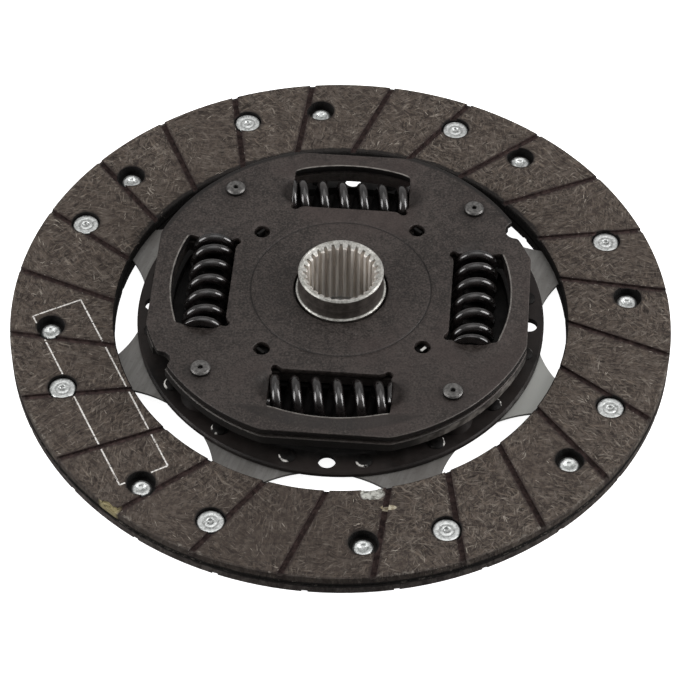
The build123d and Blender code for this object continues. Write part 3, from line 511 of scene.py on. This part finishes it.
def hub_steel():
    """Turned and broached hub: dark outside, bright turned corners, grey-brown splines."""
    m = Mat("hub_steel")
    r = m.radius()
    turn = m.noise(1500, 3, 0.6, vector=m.xyz(m.mul(r, 1.0), 0.0, m.mul(m.z, 1.0)))
    mid = m.noise(500, 4, 0.6)
    skin = m.mix(m.step(mid, 0.35, 0.7), (0.040, 0.033, 0.029), (0.085, 0.072, 0.064))
    skin = m.mix(m.mul(m.step(turn, 0.5, 0.7), 0.3), skin, (0.12, 0.105, 0.095))
    bright = m.mix(m.step(m.noise(1100, 4, 0.7), 0.3, 0.7), (0.27, 0.263, 0.243), (0.58, 0.57, 0.535))
    bright = m.mix(m.mul(m.step(m.noise(380, 4, 0.7), 0.50, 0.66), 0.7), bright, (0.20, 0.19, 0.165))
    broach = m.noise(1300, 4, 0.6, vector=m.turned(0, (1, 1, 0.05)))
    teeth = m.mix(m.step(broach, 0.34, 0.66), (0.36, 0.322, 0.290), (0.95, 0.90, 0.84))
    # painted light: the splines lighter towards the bottom of the bore
    teeth = m.mix(m.step(m.z, 0.0215, 0.0090, 0.0, 0.40), teeth, (0.95, 0.92, 0.87))
    inside = m.step(r, 0.01185, 0.01165)
    rim = m.mul(m.step(m.z, 0.0252, 0.0254), m.step(r, 0.0098, 0.0100))
    low = m.step(m.z, 0.0242, 0.0246)
    collar = m.mul(m.band(m.z, 0.01812, 0.0186, 0.00006), m.step(r, 0.01285, 0.0131))
    foot = m.step(m.z, 0.0020, 0.0018)
    b = m.top(m.top(rim, collar), m.top(foot, m.mul(inside, low)))
    col = m.mix(inside, skin, m.mix(m.step(r, 0.0108, 0.0112), teeth, (0.66, 0.61, 0.56)))
    col = m.mix(b, col, bright)
    metal = m.mixf(m.top(b, inside), 0.3, m.mixf(m.mul(inside, m.step(r, 0.0108, 0.0112)), 0.35, 0.15))
    rr = m.mixf(b, m.mixf(inside, 0.45, 0.48), m.mixf(inside, 0.40, 0.54))
    h = m.add(m.mul(broach, m.mul(inside, 0.8)), m.add(m.mul(turn, 0.5), m.mul(mid, 0.4)))
    bump = m.bump(h, 0.00010, 0.5)
    return m.done(col, rr, metal, bump, spec=0.5)


def pins():
    """Stop pins: grey formed heads with a dark centre pit."""
    m = Mat("stop_pin_steel")
    mid = m.noise(1200, 4, 0.6)
    col = m.mix(m.step(mid, 0.3, 0.7), (0.085, 0.081, 0.078), (0.185, 0.179, 0.173))
    # painted shade: the pin darker below its head's top face, darkest just above the cover plate
    col = m.mix(m.step(m.z, 0.0191, 0.0187), col, (0.020, 0.018, 0.017))
    col = m.mix(m.mul(m.step(m.z, 0.0180, 0.0179), 1.0), col, (0.05, 0.046, 0.043))
    rr = m.mixf(mid, 0.38, 0.55)
    return m.done(col, rr, 0.7, m.bump(mid, 0.00012, 0.6), spec=0.5)


def nylon(name):
    m = Mat(name)
    mid = m.noise(700, 4, 0.6)
    col = m.mix(m.step(mid, 0.3, 0.7), (0.030, 0.029, 0.027), (0.055, 0.053, 0.049))
    rr = m.mixf(mid, 0.45, 0.65)
    return m.done(col, rr, 0.0, m.bump(mid, 0.00006, 0.4), spec=0.45)


def fibre():
    m = Mat("lining_fibre")
    hue = m.noise(330, 2, 0.5)
    tone = m.noise(240, 2, 0.5)
    col = m.mix(m.step(hue, 0.38, 0.62), (0.094, 0.073, 0.059), (0.132, 0.112, 0.095))
    col = m.mix(m.step(tone, 0.59, 0.67), col, (0.29, 0.258, 0.220))
    col = m.mix(m.step(tone, 0.51, 0.42), col, (0.030, 0.0225, 0.0185))
    return m.done(col, m.mixf(hue, 0.55, 0.75), 0.0, m.bump(m.noise(2500, 2), 0.00004, 0.4), spec=0.3)


def tab_steel():
    """Support ring: dark oily ring, with a painted highlight along one tab's corner."""
    m = Mat("tab_steel")
    mid = m.noise(900, 4, 0.6)
    col = m.mix(m.step(mid, 0.3, 0.7), (0.0030, 0.0027, 0.0025), (0.0080, 0.0072, 0.0068))
    a = radians(QUARTERS[0] + 50.4)
    # painted highlight on the corner of one tab
    high = m.mul(m.step(m.z, 0.01735, 0.01750), m.near(34.0 * cos(a), 34.0 * sin(a), 2.2, 0.4))
    across = m.add(m.mul(m.x, -sin(a)), m.mul(m.y, cos(a)))
    high = m.mul(high, m.band(across, -0.0011, 0.0008, 0.0002))
    col = m.mix(high, col, (0.60, 0.59, 0.57))
    return m.done(col, m.mixf(mid, 0.48, 0.62), m.mixf(high, 0.05, 0.7), m.bump(mid, 0.00012, 0.7), spec=0.15)


def ink():
    m = Mat("print_ink")
    f = m.noise(1500, 4, 0.7)
    col = m.mix(m.step(f, 0.34, 0.6), (0.42, 0.39, 0.36), (0.78, 0.76, 0.73))
    return m.done(col, m.mixf(f, 0.5, 0.75), 0.0, m.bump(f, 0.00005, 0.6), spec=0.4)


def floor_material():
    m = Mat("floor")
    f = m.noise(3, 2, 0.5)
    col = m.mix(f, (0.86, 0.86, 0.86), (0.9, 0.9, 0.9))
    mat = m.done(col, m.mixf(f, 0.7, 0.8), 0.0, None, spec=0.2)
    m.b.inputs["Emission Color"].default_value = (1, 1, 1, 1)
    # painted shadow: the floor's glow is cut beneath the hub bore
    m.put(m.b.inputs["Emission Strength"], m.step(m.radius(), 0.0125, 0.020, 0.0, 0.93))
    return mat


MAT = {
    "lining": lining(),
    "cover": phosphate("cover_phosphate"),
    "flange": phosphate("flange_phosphate", (0.030, 0.026, 0.023), (0.055, 0.047, 0.043), band=True),
    "black": black_steel(),
    "spring": oiled_spring(),
    "spring_low": spring_painted_shade(),
    "rivet": rivet("zinc_rivet_head", 0.0, 20.35),
    "tail": rivet("zinc_rivet_tail", -0.15, 4.45, 0.4),
    "black_rivet": black_rivet(),
    "strip": spring_strip(),
    "hub": hub_steel(),
    "pin": pins(),
    "nylon": nylon("glass_filled_nylon"),
    "tab": tab_steel(),
}
NODES = {
    "facing_gearbox_side": "lining",
    "facing_flywheel_side": "lining",
    "facing_rivets_gearbox_side": "rivet",
    "facing_rivets_flywheel_side": "tail",
    "drive_plate": "black",
    "segment_rivets": "black_rivet",
    "retainer_plate": "cover",
    "stop_pins": "pin",
    "hub_flange": "flange",
    "splined_hub": "hub",
    "friction_washer_flywheel_side": "nylon",
    "friction_washer_gearbox_side": "nylon",
    "centring_bush": "nylon",
    "support_ring": "tab",
    "diaphragm_spring": "strip",
}
for n in range(1, 9):
    NODES["cushion_segment_%d" % n] = "strip"
for n in range(1, 5):
    NODES["damper_spring_%d" % n] = "spring"
for name, kind in NODES.items():
    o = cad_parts[name]
    o.data.materials.clear()
    o.data.materials.append(MAT[kind])


# ---------------------------------------------------------------- meshes
def mesh_object(name, verts, faces, mat, smooth=True):
    me = bpy.data.meshes.new(name)
    me.from_pydata([(x * MM, y * MM, z * MM) for x, y, z in verts], [], faces)
    me.validate()
    me.update()
    if smooth:
        me.polygons.foreach_set("use_smooth", [True] * len(me.polygons))
    me.materials.append(mat)
    o = bpy.data.objects.new(name, me)
    scene.collection.objects.link(o)
    return o


# damper springs: round wire, closed and ground ends
WIRE_R, COIL_R, SPRING_V, HALF = 1.45, 5.3, 40.1, 17.95
TURNS, DEAD, DEAD_PITCH, ACTIVE_HALF = 6.98, 0.87, 2.5, 16.1
PITCH = 2 * ACTIVE_HALF / (TURNS - 2 * DEAD)


def spring_table(steps):
    us, u = [], -(ACTIVE_HALF + DEAD * DEAD_PITCH)
    dt = TURNS / steps
    for i in range(steps + 1):
        us.append(u)
        t = (i + 0.5) * dt
        low = min(max((t - DEAD + 0.12) / 0.24, 0.0), 1.0)
        high = min(max((TURNS - DEAD + 0.12 - t) / 0.24, 0.0), 1.0)
        u += (DEAD_PITCH + (PITCH - DEAD_PITCH) * min(low, high)) * dt
    return us


def make_spring(index, q, t_top):
    steps, around = 336, 28
    us = spring_table(steps)
    out = Vector((cos(radians(q)), sin(radians(q)), 0))
    along = Vector((-sin(radians(q)), cos(radians(q)), 0))
    up = Vector((0, 0, 1))
    centre = []
    for i in range(steps + 1):
        a = 2 * pi * (TURNS * i / steps - t_top)
        centre.append(out * (SPRING_V + COIL_R * sin(a)) + along * us[i] + up * (Z_MID + COIL_R * cos(a)))
    verts, faces = [], []
    for i, c in enumerate(centre):
        a = 2 * pi * (TURNS * i / steps - t_top)
        tangent = (centre[min(i + 1, steps)] - centre[max(i - 1, 0)]).normalized()
        outward = (out * sin(a) + up * cos(a)).normalized()
        outward = (outward - tangent * outward.dot(tangent)).normalized()
        side = tangent.cross(outward)
        for j in range(around):
            b = 2 * pi * j / around
            p = c + (outward * cos(b) + side * sin(b)) * WIRE_R
            u = p.dot(along)
            if abs(u) > HALF:
                p = p - along * (u - math.copysign(HALF, u))
            verts.append(tuple(p))
    for i in range(steps):
        for j in range(around):
            k = (j + 1) % around
            faces.append((i * around + j, i * around + k, (i + 1) * around + k, (i + 1) * around + j))
    faces.append(tuple(range(around - 1, -1, -1)))
    faces.append(tuple(steps * around + j for j in range(around)))
    o = mesh_object("damper_spring_coil_%d" % index, verts, faces, MAT["spring"])
    # the coils' lower halves get the painted-shade copy of the finish
    o.data.materials.append(MAT["spring_low"])
    for poly in o.data.polygons:
        if poly.center.z < (Z_MID - 1.6) * MM:
            poly.material_index = 1
    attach(o, "springs")
    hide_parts("damper_spring_%d" % index)
    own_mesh(o)
    return o


for k, q in enumerate(QUARTERS):
    make_spring(k + 1, q, SPRING_TOPS[k])


# cover plate: pressed sheet with rolled edges, soft scoops and turned-up lips
FLAT_N, PLATE_R = 56.6, 59.6
SHOULDER = ((11.3, 59.2), (13.9, 58.75), (15.8, 58.45), (17.9, 58.3), (21.6, 58.0))
NOTCHES = ((58.9, 24.6, 3.3), (60.2, 208.3, 3.0))


def plate_radius(t):
    r = PLATE_R
    for q in QUARTERS:
        c = cos(radians(t - q))
        if c > 0.5:
            r = min(r, FLAT_N / c)
    t = t % 360
    for (a0, r0), (a1, r1) in zip(SHOULDER, SHOULDER[1:]):
        if a0 <= t <= a1:
            r = min(r, r0 + (r1 - r0) * (t - a0) / (a1 - a0))
    for rc, a, size in NOTCHES:
        d = radians((t - a + 180) % 360 - 180)
        if abs(d) < 0.5 and abs(rc * sin(d)) < size:
            r = min(r, rc * cos(d) - sqrt(size * size - (rc * sin(d)) ** 2))
    return r


def resample(points, gap):
    """Closed loop with even spacing."""
    n = len(points)
    lengths = [math.dist(points[i], points[(i + 1) % n]) for i in range(n)]
    total = sum(lengths)
    count = max(8, int(round(total / gap)))
    out, i, run = [], 0, 0.0
    for k in range(count):
        want = total * k / count
        while run + lengths[i] < want:
            run += lengths[i]
            i += 1
        f = (want - run) / lengths[i] if lengths[i] > 0 else 0
        p0, p1 = points[i], points[(i + 1) % n]
        out.append((p0[0] + (p1[0] - p0[0]) * f, p0[1] + (p1[1] - p0[1]) * f))
    return out


def soften(points, times):
    for _ in range(times):
        n = len(points)
        points = [
            (
                0.25 * points[i - 1][0] + 0.5 * points[i][0] + 0.25 * points[(i + 1) % n][0],
                0.25 * points[i - 1][1] + 0.5 * points[i][1] + 0.25 * points[(i + 1) % n][1],
            )
            for i in range(n)
        ]
    return points


def inset(points, d):
    """Offset to the left of the direction of travel."""
    n, out = len(points), []
    for i in range(n):
        tx = points[(i + 1) % n][0] - points[i - 1][0]
        ty = points[(i + 1) % n][1] - points[i - 1][1]
        k = math.hypot(tx, ty) or 1.0
        out.append((points[i][0] - ty / k * d, points[i][1] + tx / k * d))
    return out


def circle(cx, cy, r, n, clockwise=False):
    s = -1 if clockwise else 1
    return [(cx + r * cos(s * 2 * pi * i / n), cy + r * sin(s * 2 * pi * i / n)) for i in range(n)]


def window_loop(q):
    """Clockwise, in the plane of the plate, with the two corner ears."""
    pts = []
    corner = sqrt(50.9 ** 2 - 18.0 ** 2)
    half = degrees(math.asin(18.0 / 50.9))
    for i in range(41):  # outer arc, from +u to -u
        a = radians(half - 2 * half * i / 40)
        pts.append((50.9 * cos(a), 50.9 * sin(a)))
    for i in range(1, 20):
        pts.append((corner + (34.45 - corner) * i / 20, -18.0))
    for i in range(13):
        a = radians(-22 - 230 * i / 12)
        pts.append((33.1 + 1.35 * cos(a), -16.7 + 1.35 * sin(a)))
    for i in range(1, 30):
        pts.append((33.2, -15.3 + 30.6 * i / 30))
    for i in range(13):
        a = radians(-108 - 230 * i / 12)
        pts.append((33.1 + 1.35 * cos(a), 16.7 + 1.35 * sin(a)))
    for i in range(1, 20):
        pts.append((34.45 + (corner - 34.45) * i / 20, 18.0))
    c, s_ = cos(radians(q)), sin(radians(q))
    return [(x * c - y * s_, x * s_ + y * c) for x, y in soften(resample(pts, 0.42), 2)]


def ramp(x, a, b):
    t = min(max((x - a) / (b - a), 0.0), 1.0)
    return t * t * (3 - 2 * t)


def plate_relief(x, y):
    """Heights above the flat top and below the flat underside, in mm."""
    r = math.hypot(x, y)
    up = down = 0.0
    for q in QUARTERS:
        c, s_ = cos(radians(q)), sin(radians(q))
        v, u = x * c + y * s_, -x * s_ + y * c
        if v < 25:
            continue
        phi = degrees(atan2(u, v))
        if abs(phi) < 25 and r > 49:
            t = r - 50.9
            end = 1 - ramp(abs(phi), 17.0, 23.0)
            rise = (1 - ramp(t, 0.3, 4.4)) * end
            up += 0.72 * rise
            down += 0.45 * rise
        for e in (15.4, -15.4):
            d = math.hypot(v - 40.1, u - e)
            if d < 7.6:
                f = 1 - ramp(d, 3.6, 7.4)
                up -= 1.4 * f
                down -= 0.6 * f
    ring = abs(r - 27.1)
    if ring < 0.3:
        up -= 0.2 * (1 - ramp(ring, 0.04, 0.28))
    return up, down


def make_plate():
    import numpy as np
    from mathutils.geometry import delaunay_2d_cdt

    steps = [i * 0.25 for i in range(1440)]
    outline = [(plate_radius(t) * cos(radians(t)), plate_radius(t) * sin(radians(t))) for t in steps]
    outline = soften(resample(outline, 0.42), 3)
    holes = [window_loop(q) for q in QUARTERS]
    holes.append(circle(0, 0, 14.2, 150, True))
    for q in QUARTERS:
        a = radians(q + 50.4)
        holes.append(circle(33.5 * cos(a), 33.5 * sin(a), 2.45, 40, True))
        a = radians(q + 42.9)
        holes.append(circle(52.4 * cos(a), 52.4 * sin(a), 2.6, 32, True))
    loops = [outline] + holes
    rounds = [0.42] + [0.26] * 4 + [0.3] + [0.25, 0.2] * 4
    bends = (0, 20, 42, 66, 90)
    pts, drop_top, drop_low, edges, rims = [], [], [], [], []
    for loop, rho in zip(loops, rounds):
        for k, b in enumerate(bends):
            d = rho * (1 - cos(radians(b)))
            ring = loop if k == 0 else inset(loop, d)
            base = len(pts)
            pts += ring
            drop_top += [rho * (1 - sin(radians(b)))] * len(ring)
            low = max(0.0, 0.16 - d)
            drop_low += [low] * len(ring)
            n = len(ring)
            edges += [(base + i, base + (i + 1) % n) for i in range(n)]
            if k == 0:
                rims.append((base, n))
    for r in (26.8, 26.95, 27.04, 27.16, 27.25, 27.4):
        base = len(pts)
        ring = circle(0, 0, r, 260)
        pts += ring
        drop_top += [0] * len(ring)
        drop_low += [0] * len(ring)
        edges += [(base + i, base + (i + 1) % 260) for i in range(260)]
    arr = np.array(pts)
    rnd = random.Random(11)
    grid = []
    gap = 0.85
    for j in range(-72, 73):
        for i in range(-72, 73):
            x = (i + 0.5 * (j % 2)) * gap + rnd.uniform(-0.02, 0.02)
            y = j * gap * 0.9
            r = math.hypot(x, y)
            if not 14.9 < r < 59.2 or abs(r - 27.1) < 0.7:
                continue
            if r > plate_radius(degrees(atan2(y, x))) - 0.7:
                continue
            grid.append((x, y))
    g = np.array(grid)
    keep = np.ones(len(g), bool)
    for k in range(0, len(g), 400):
        part = g[k:k + 400]
        d2 = ((part[:, None, :] - arr[None, :, :]) ** 2).sum(2).min(1)
        keep[k:k + 400] = d2 > 0.5 ** 2

    def inside(points, loop):
        """Even-odd test of many points against a loop."""
        hit = np.zeros(len(points), bool)
        px, py = points[:, 0], points[:, 1]
        n = len(loop)
        for i in range(n):
            x0, y0 = loop[i]
            x1, y1 = loop[(i + 1) % n]
            if y0 == y1:
                continue
            cross = ((y0 > py) != (y1 > py)) & (px < (x1 - x0) * (py - y0) / (y1 - y0) + x0)
            hit ^= cross
        return hit

    for loop in holes:
        keep &= ~inside(g, loop)
    g = g[keep]
    base = len(pts)
    pts += [tuple(p) for p in g]
    drop_top += [0] * len(g)
    drop_low += [0] * len(g)
    out = delaunay_2d_cdt([Vector(p) for p in pts], edges, [], 0, 1e-5, True)
    vs, tris, origin = out[0], out[2], out[3]
    xy = np.array([(v.x, v.y) for v in vs])
    source = [o[0] if o else -1 for o in origin]
    tri = np.array([t for t in tris if len(t) == 3])
    mid = xy[tri].mean(1)
    ok = inside(mid, outline)
    for loop in holes:
        ok &= ~inside(mid, loop)
    tri = tri[ok]
    a, b, c = xy[tri[:, 0]], xy[tri[:, 1]], xy[tri[:, 2]]
    area = (b[:, 0] - a[:, 0]) * (c[:, 1] - a[:, 1]) - (b[:, 1] - a[:, 1]) * (c[:, 0] - a[:, 0])
    tri[area < 0] = tri[area < 0][:, ::-1]
    tri = tri[abs(area) > 1e-9]
    n = len(xy)
    verts = []
    low = []
    for i in range(n):
        x, y = xy[i]
        up, down = plate_relief(x, y)
        s0 = source[i]
        verts.append((x, y, 18.0 + up - (drop_top[s0] if s0 >= 0 else 0)))
        low.append((x, y, 16.0 + down + (drop_low[s0] if s0 >= 0 else 0)))
    faces = [tuple(int(v) for v in t) for t in tri]
    faces += [tuple(int(v) + n for v in t[::-1]) for t in tri]
    # walls along every free edge of the sheet
    count = {}
    for t in tri:
        for k in range(3):
            e = (int(t[k]), int(t[(k + 1) % 3]))
            key = (min(e), max(e))
            count.setdefault(key, []).append(e)
    for key, es in count.items():
        if len(es) == 1:
            i, j = es[0]
            faces.append((j, i, i + n, j + n))
    used = sorted({v for f in faces for v in f})
    index = {v: k for k, v in enumerate(used)}
    allv = verts + low
    o = mesh_object("cover_plate_pressed", [allv[v] for v in used], [tuple(index[v] for v in f) for f in faces], MAT["cover"])
    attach(o, "disc")
    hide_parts("retainer_plate")
    return o


make_plate()


# facing rivets: pressed head with a ring and a hollow, rolled tail
HEAD = (
    (0.0, -0.78), (0.45, -0.76), (0.80, -0.62), (0.98, -0.30), (1.06, -0.09), (1.20, -0.005), (1.42, 0.0), (1.66, -0.03),
    (1.84, -0.12), (2.02, -0.16), (2.22, -0.15), (2.40, -0.06), (2.62, -0.005), (3.00, 0.0), (3.45, -0.02), (3.74, -0.07),
    (3.92, -0.19), (4.0, -0.38), (4.0, -0.62), (3.93, -0.76), (3.80, -0.80),
)
TAIL = (
    (2.0, 0.02), (2.74, 0.03), (2.98, 0.10), (3.10, 0.26), (3.08, 0.48), (2.97, 0.72), (2.76, 0.92), (2.46, 1.05),
    (2.12, 1.095), (1.76, 1.06), (1.46, 0.94), (1.24, 0.74), (1.04, 0.48), (0.76, 0.34), (0.36, 0.28), (0.0, 0.27),
)


def formed_rivets(name, angles, z_head, z_tail, way, mat, replaced, seed):
    """way +1: head looks up; the profile runs from the head's hollow to the tail's."""
    rnd = random.Random(seed)
    verts, faces = [], []
    around = 44
    for a in angles:
        cx, cy = RIVET_R * cos(radians(a)), RIVET_R * sin(radians(a))
        lean, lean_way = rnd.uniform(0.0, 0.035), rnd.uniform(0, 2 * pi)
        off, off_way = rnd.uniform(0.0, 0.16), rnd.uniform(0, 2 * pi)
        wob, wob_way = rnd.uniform(0.01, 0.045), rnd.uniform(0, 2 * pi)
        line = [(r, z_head + way * (z - 0.02), 1.0) for r, z in HEAD]
        line += [(2.0, z_head - way * 0.80, 0.0), (2.0, z_tail, 0.0)]
        line += [(r, z_tail - way * z, -1.0) for r, z in TAIL[1:]]
        rows = []
        for r, z, part in line:
            if r == 0.0:
                rows.append([len(verts)])
                verts.append((cx + off * cos(off_way) * part, cy + off * sin(off_way) * part, z))
                continue
            row = []
            for j in range(around):
                b = 2 * pi * j / around
                centred = max(0.0, 1 - r / 2.2)
                rr = r
                zz = z
                if part < 0:
                    rr = r * (1 - wob * (0.5 + 0.5 * cos(3 * b + wob_way)) * (1 if r > 1.2 else 0.3))
                    zz = z + way * 0.05 * (0.5 + 0.5 * cos(2 * b + lean_way)) * max(0.0, (z_tail - z) * way)
                elif part > 0 and r < 3.7:
                    zz = z - way * lean * (0.5 + 0.5 * cos(b - lean_way)) * r * 0.35
                row.append(len(verts))
                verts.append((cx + rr * cos(b) + off * cos(off_way) * centred * abs(part), cy + rr * sin(b) + off * sin(off_way) * centred * abs(part), zz))
            rows.append(row)
        for r0, r1 in zip(rows, rows[1:]):
            for j in range(around):
                k = (j + 1) % around
                if len(r0) == 1:
                    f = (r0[0], r1[j], r1[k])
                elif len(r1) == 1:
                    f = (r0[j], r1[0], r0[k])
                else:
                    f = (r0[j], r1[j], r1[k], r0[k])
                faces.append(f if way > 0 else f[::-1])
    o = mesh_object(name, verts, faces, mat)
    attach(o, "disc")
    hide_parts(replaced)
    return o


formed_rivets("facing_rivets_formed_gearbox_side", RIVETS_TOP, Z_FACE - 0.8, 3.3, 1, MAT["rivet"], "facing_rivets_gearbox_side", 21)
formed_rivets("facing_rivets_formed_flywheel_side", RIVETS_BOT, 0.8, 4.1, -1, MAT["tail"], "facing_rivets_flywheel_side", 22)


# short fibres lying in the lining's surface
def clear_of_cuts(x, y, top_side, margin):
    r = math.hypot(x, y)
    if not 69.3 < r < 99.3:
        return False
    yy = y if top_side else -y
    own, other = (RIVETS_TOP, RIVETS_BOT)
    for a in own:
        if math.hypot(x - RIVET_R * cos(radians(a)), y - RIVET_R * sin(radians(a))) < 4.45 + margin:
            return False
    for a in other:
        if math.hypot(x - RIVET_R * cos(radians(a)), y - RIVET_R * sin(radians(a))) < 4.4 + margin:
            return False
    if top_side and (math.hypot(x - 9.2, y + 69.5) < 3.7 or math.hypot(x - 14.2, (y + 74.9) * 1.6) < 2.6):
        return False
    for n in GROOVES:
        c, s = cos(radians(n)), sin(radians(n))
        if abs(x * c + yy * s - GROOVE_R) < 0.85 + margin and (-x * s + yy * c) < 0:
            return False
    return True


def lie_of(x, y, k):
    """Slowly swirling direction of the fibres over the lining."""
    return (
        1.9 * sin(0.11 * x + 0.6 * k) + 1.7 * cos(0.13 * y - 0.9 * k)
        + 1.2 * sin(0.07 * (x - y) + 1.3 * k) + 0.8 * cos(0.21 * (x + y) + k)
    )


def fibres(name, top_side, count, seed):
    rnd = random.Random(seed)
    verts, faces = [], []
    made = 0
    while made < count:
        r = sqrt(rnd.uniform(69.5 ** 2, 99.2 ** 2))
        a = rnd.uniform(0, 2 * pi)
        x, y = r * cos(a), r * sin(a)
        if rnd.random() > 0.25 + 0.75 * (0.5 + 0.5 * sin(0.19 * x + 1.1 * sin(0.16 * y))):
            continue
        layer = rnd.choice((1.0, 1.0, 1.0, 4.2))
        heading = lie_of(x, y, layer) + rnd.gauss(0, 0.14)
        length = rnd.uniform(0.8, 2.8)
        bend = rnd.gauss(0, 0.045)
        width = rnd.uniform(0.06, 0.14)
        n = 4
        step = length / n
        line, ok = [], True
        for i in range(n + 1):
            if not clear_of_cuts(x, y, top_side, 0.2 + 0.35 * (0.5 + 0.5 * sin(1.9 * x + 2.3 * y))):
                ok = False
                break
            line.append((x, y, heading))
            x += step * cos(heading)
            y += step * sin(heading)
            heading += bend * step
        if not ok:
            continue
        made += 1
        base = len(verts)
        lift = rnd.uniform(0.008, 0.028)
        for i, (px, py, h) in enumerate(line):
            w = width * (0.35 + 0.65 * sin(pi * (i + 0.35) / (n + 0.7)))
            z = lift * sin(pi * (i + 0.4) / (n + 0.8)) + 0.003
            nx, ny = -sin(h) * w, cos(h) * w
            zz, zm = (Z_FACE + z, Z_FACE + z + width * 0.4) if top_side else (-0.0004, -0.0008)
            verts.append((px + nx, py + ny, zz))
            verts.append((px, py, zm))
            verts.append((px - nx, py - ny, zz))
        for i in range(n):
            b = base + i * 3
            if top_side:
                faces.append((b, b + 1, b + 4, b + 3))
                faces.append((b + 1, b + 2, b + 5, b + 4))
            else:
                faces.append((b + 3, b + 4, b + 1, b))
                faces.append((b + 4, b + 5, b + 2, b + 1))
    o = mesh_object(name, verts, faces, MAT["fibre"])
    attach(o, "disc")
    return o


MAT["fibre"] = fibre()
fibres("lining_fibres_gearbox_side", True, 2300, 7)
fibres("lining_fibres_flywheel_side", False, 5200, 8)


# thin printed frame on the gearbox-side facing, broken where it crosses a groove
def printed_frame():
    rnd = random.Random(3)
    corners = [(-93.1, -2.8), (-79.1, 4.0), (-49.6, -60.3), (-63.1, -67.5)]
    runs = [(corners[0], corners[1]), (corners[1], corners[2]), (corners[2], corners[3]), (corners[3], corners[0])]
    verts, faces = [], []
    for (x0, y0), (x1, y1) in runs:
        length = math.hypot(x1 - x0, y1 - y0)
        n = int(length / 0.22)
        nx, ny = -(y1 - y0) / length, (x1 - x0) / length
        last = None
        for i in range(n + 1):
            t = i / n
            x, y = x0 + (x1 - x0) * t, y0 + (y1 - y0) * t
            if not clear_of_cuts(x, y, True, 0.12) or rnd.random() < 0.012:
                last = None
                continue
            w = 0.23 + rnd.uniform(-0.06, 0.06)
            verts.append((x + nx * w, y + ny * w, Z_FACE + 0.012))
            verts.append((x - nx * w, y - ny * w, Z_FACE + 0.012))
            b = len(verts) - 2
            if last is not None:
                faces.append((last, last + 1, b + 1, b))
            last = b
    o = mesh_object("printed_frame", verts, faces, ink(), smooth=False)
    # face up
    if o.data.polygons[0].normal.z < 0:
        o.data.flip_normals()
    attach(o, "disc")
    return o


printed_frame()

# ------------------------------------------------------- floor and light
bpy.ops.mesh.primitive_plane_add(size=8, location=(0, 0, -0.00002))
floor = bpy.context.object
floor.name = "floor"
floor.data.materials.append(floor_material())
floor.visible_diffuse = False
floor.visible_glossy = False

world = bpy.data.worlds.new("studio")
scene.world = world
world.use_nodes = True
bg = world.node_tree.nodes["Background"]
bg.inputs["Color"].default_value = (1.0, 0.995, 0.985, 1)
w_tree = world.node_tree
w_dir = w_tree.nodes.new("ShaderNodeTexCoord")
w_dot = w_tree.nodes.new("ShaderNodeVectorMath")
w_dot.operation = "DOT_PRODUCT"
w_dot.inputs[1].default_value = (0.0, 0.5, 0.866)
w_tree.links.new(w_dir.outputs["Generated"], w_dot.inputs[0])
w_map = w_tree.nodes.new("ShaderNodeMapRange")
w_map.interpolation_type = "SMOOTHSTEP"
w_map.inputs["From Min"].default_value = -0.25
w_map.inputs["From Max"].default_value = 0.80
w_map.inputs["To Min"].default_value = 0.09
w_map.inputs["To Max"].default_value = 0.46
w_tree.links.new(w_dot.outputs["Value"], w_map.inputs["Value"])
w_tree.links.new(w_map.outputs["Result"], bg.inputs["Strength"])


def softbox(name, place, size, watts, colour=(1, 1, 1), aim=(0, 0, 0.01)):
    light = bpy.data.lights.new(name, "AREA")
    light.shape = "RECTANGLE"
    light.size, light.size_y = size
    light.energy = watts
    light.color = colour
    o = bpy.data.objects.new(name, light)
    o.location = place
    o.rotation_mode = "QUATERNION"
    o.rotation_quaternion = (Vector(aim) - Vector(place)).to_track_quat("-Z", "Y")
    scene.collection.objects.link(o)
    return o


softbox("overhead", (0.1, 0.1, 1.6), (1.5, 1.5), 6.5)
softbox("panel_left", (-0.80, -0.22, 0.36), (0.42, 0.66), 5.0)
softbox("panel_right", (0.80, -0.06, 0.38), (0.42, 0.72), 6.6)

# ----------------------------------------------------------------- camera
cam_data = bpy.data.cameras.new("camera")
cam = bpy.data.objects.new("camera", cam_data)
scene.collection.objects.link(cam)
cam_data.sensor_width = 36.0
cam_data.sensor_fit = "AUTO"
cam_data.lens = 145.56
cam_data.clip_start = 0.02
cam_data.clip_end = 50
elev, roll = radians(48.7248), radians(0.4363)
forward = Vector((0, cos(elev), -sin(elev)))
right = Vector((1, 0, 0))
upv = Vector((0, sin(elev), cos(elev)))
r2 = cos(roll) * right + sin(roll) * upv
u2 = -sin(roll) * right + cos(roll) * upv
rot = Matrix((r2, u2, -forward)).transposed()
cam.matrix_world = Matrix.Translation(Vector((-0.130, -556.56, 628.39)) * MM) @ rot.to_4x4()
scene.camera = cam

scene.view_settings.view_transform = "Standard"
scene.view_settings.look = "None"
scene.view_settings.exposure = 0.0
scene.view_settings.gamma = 1.0
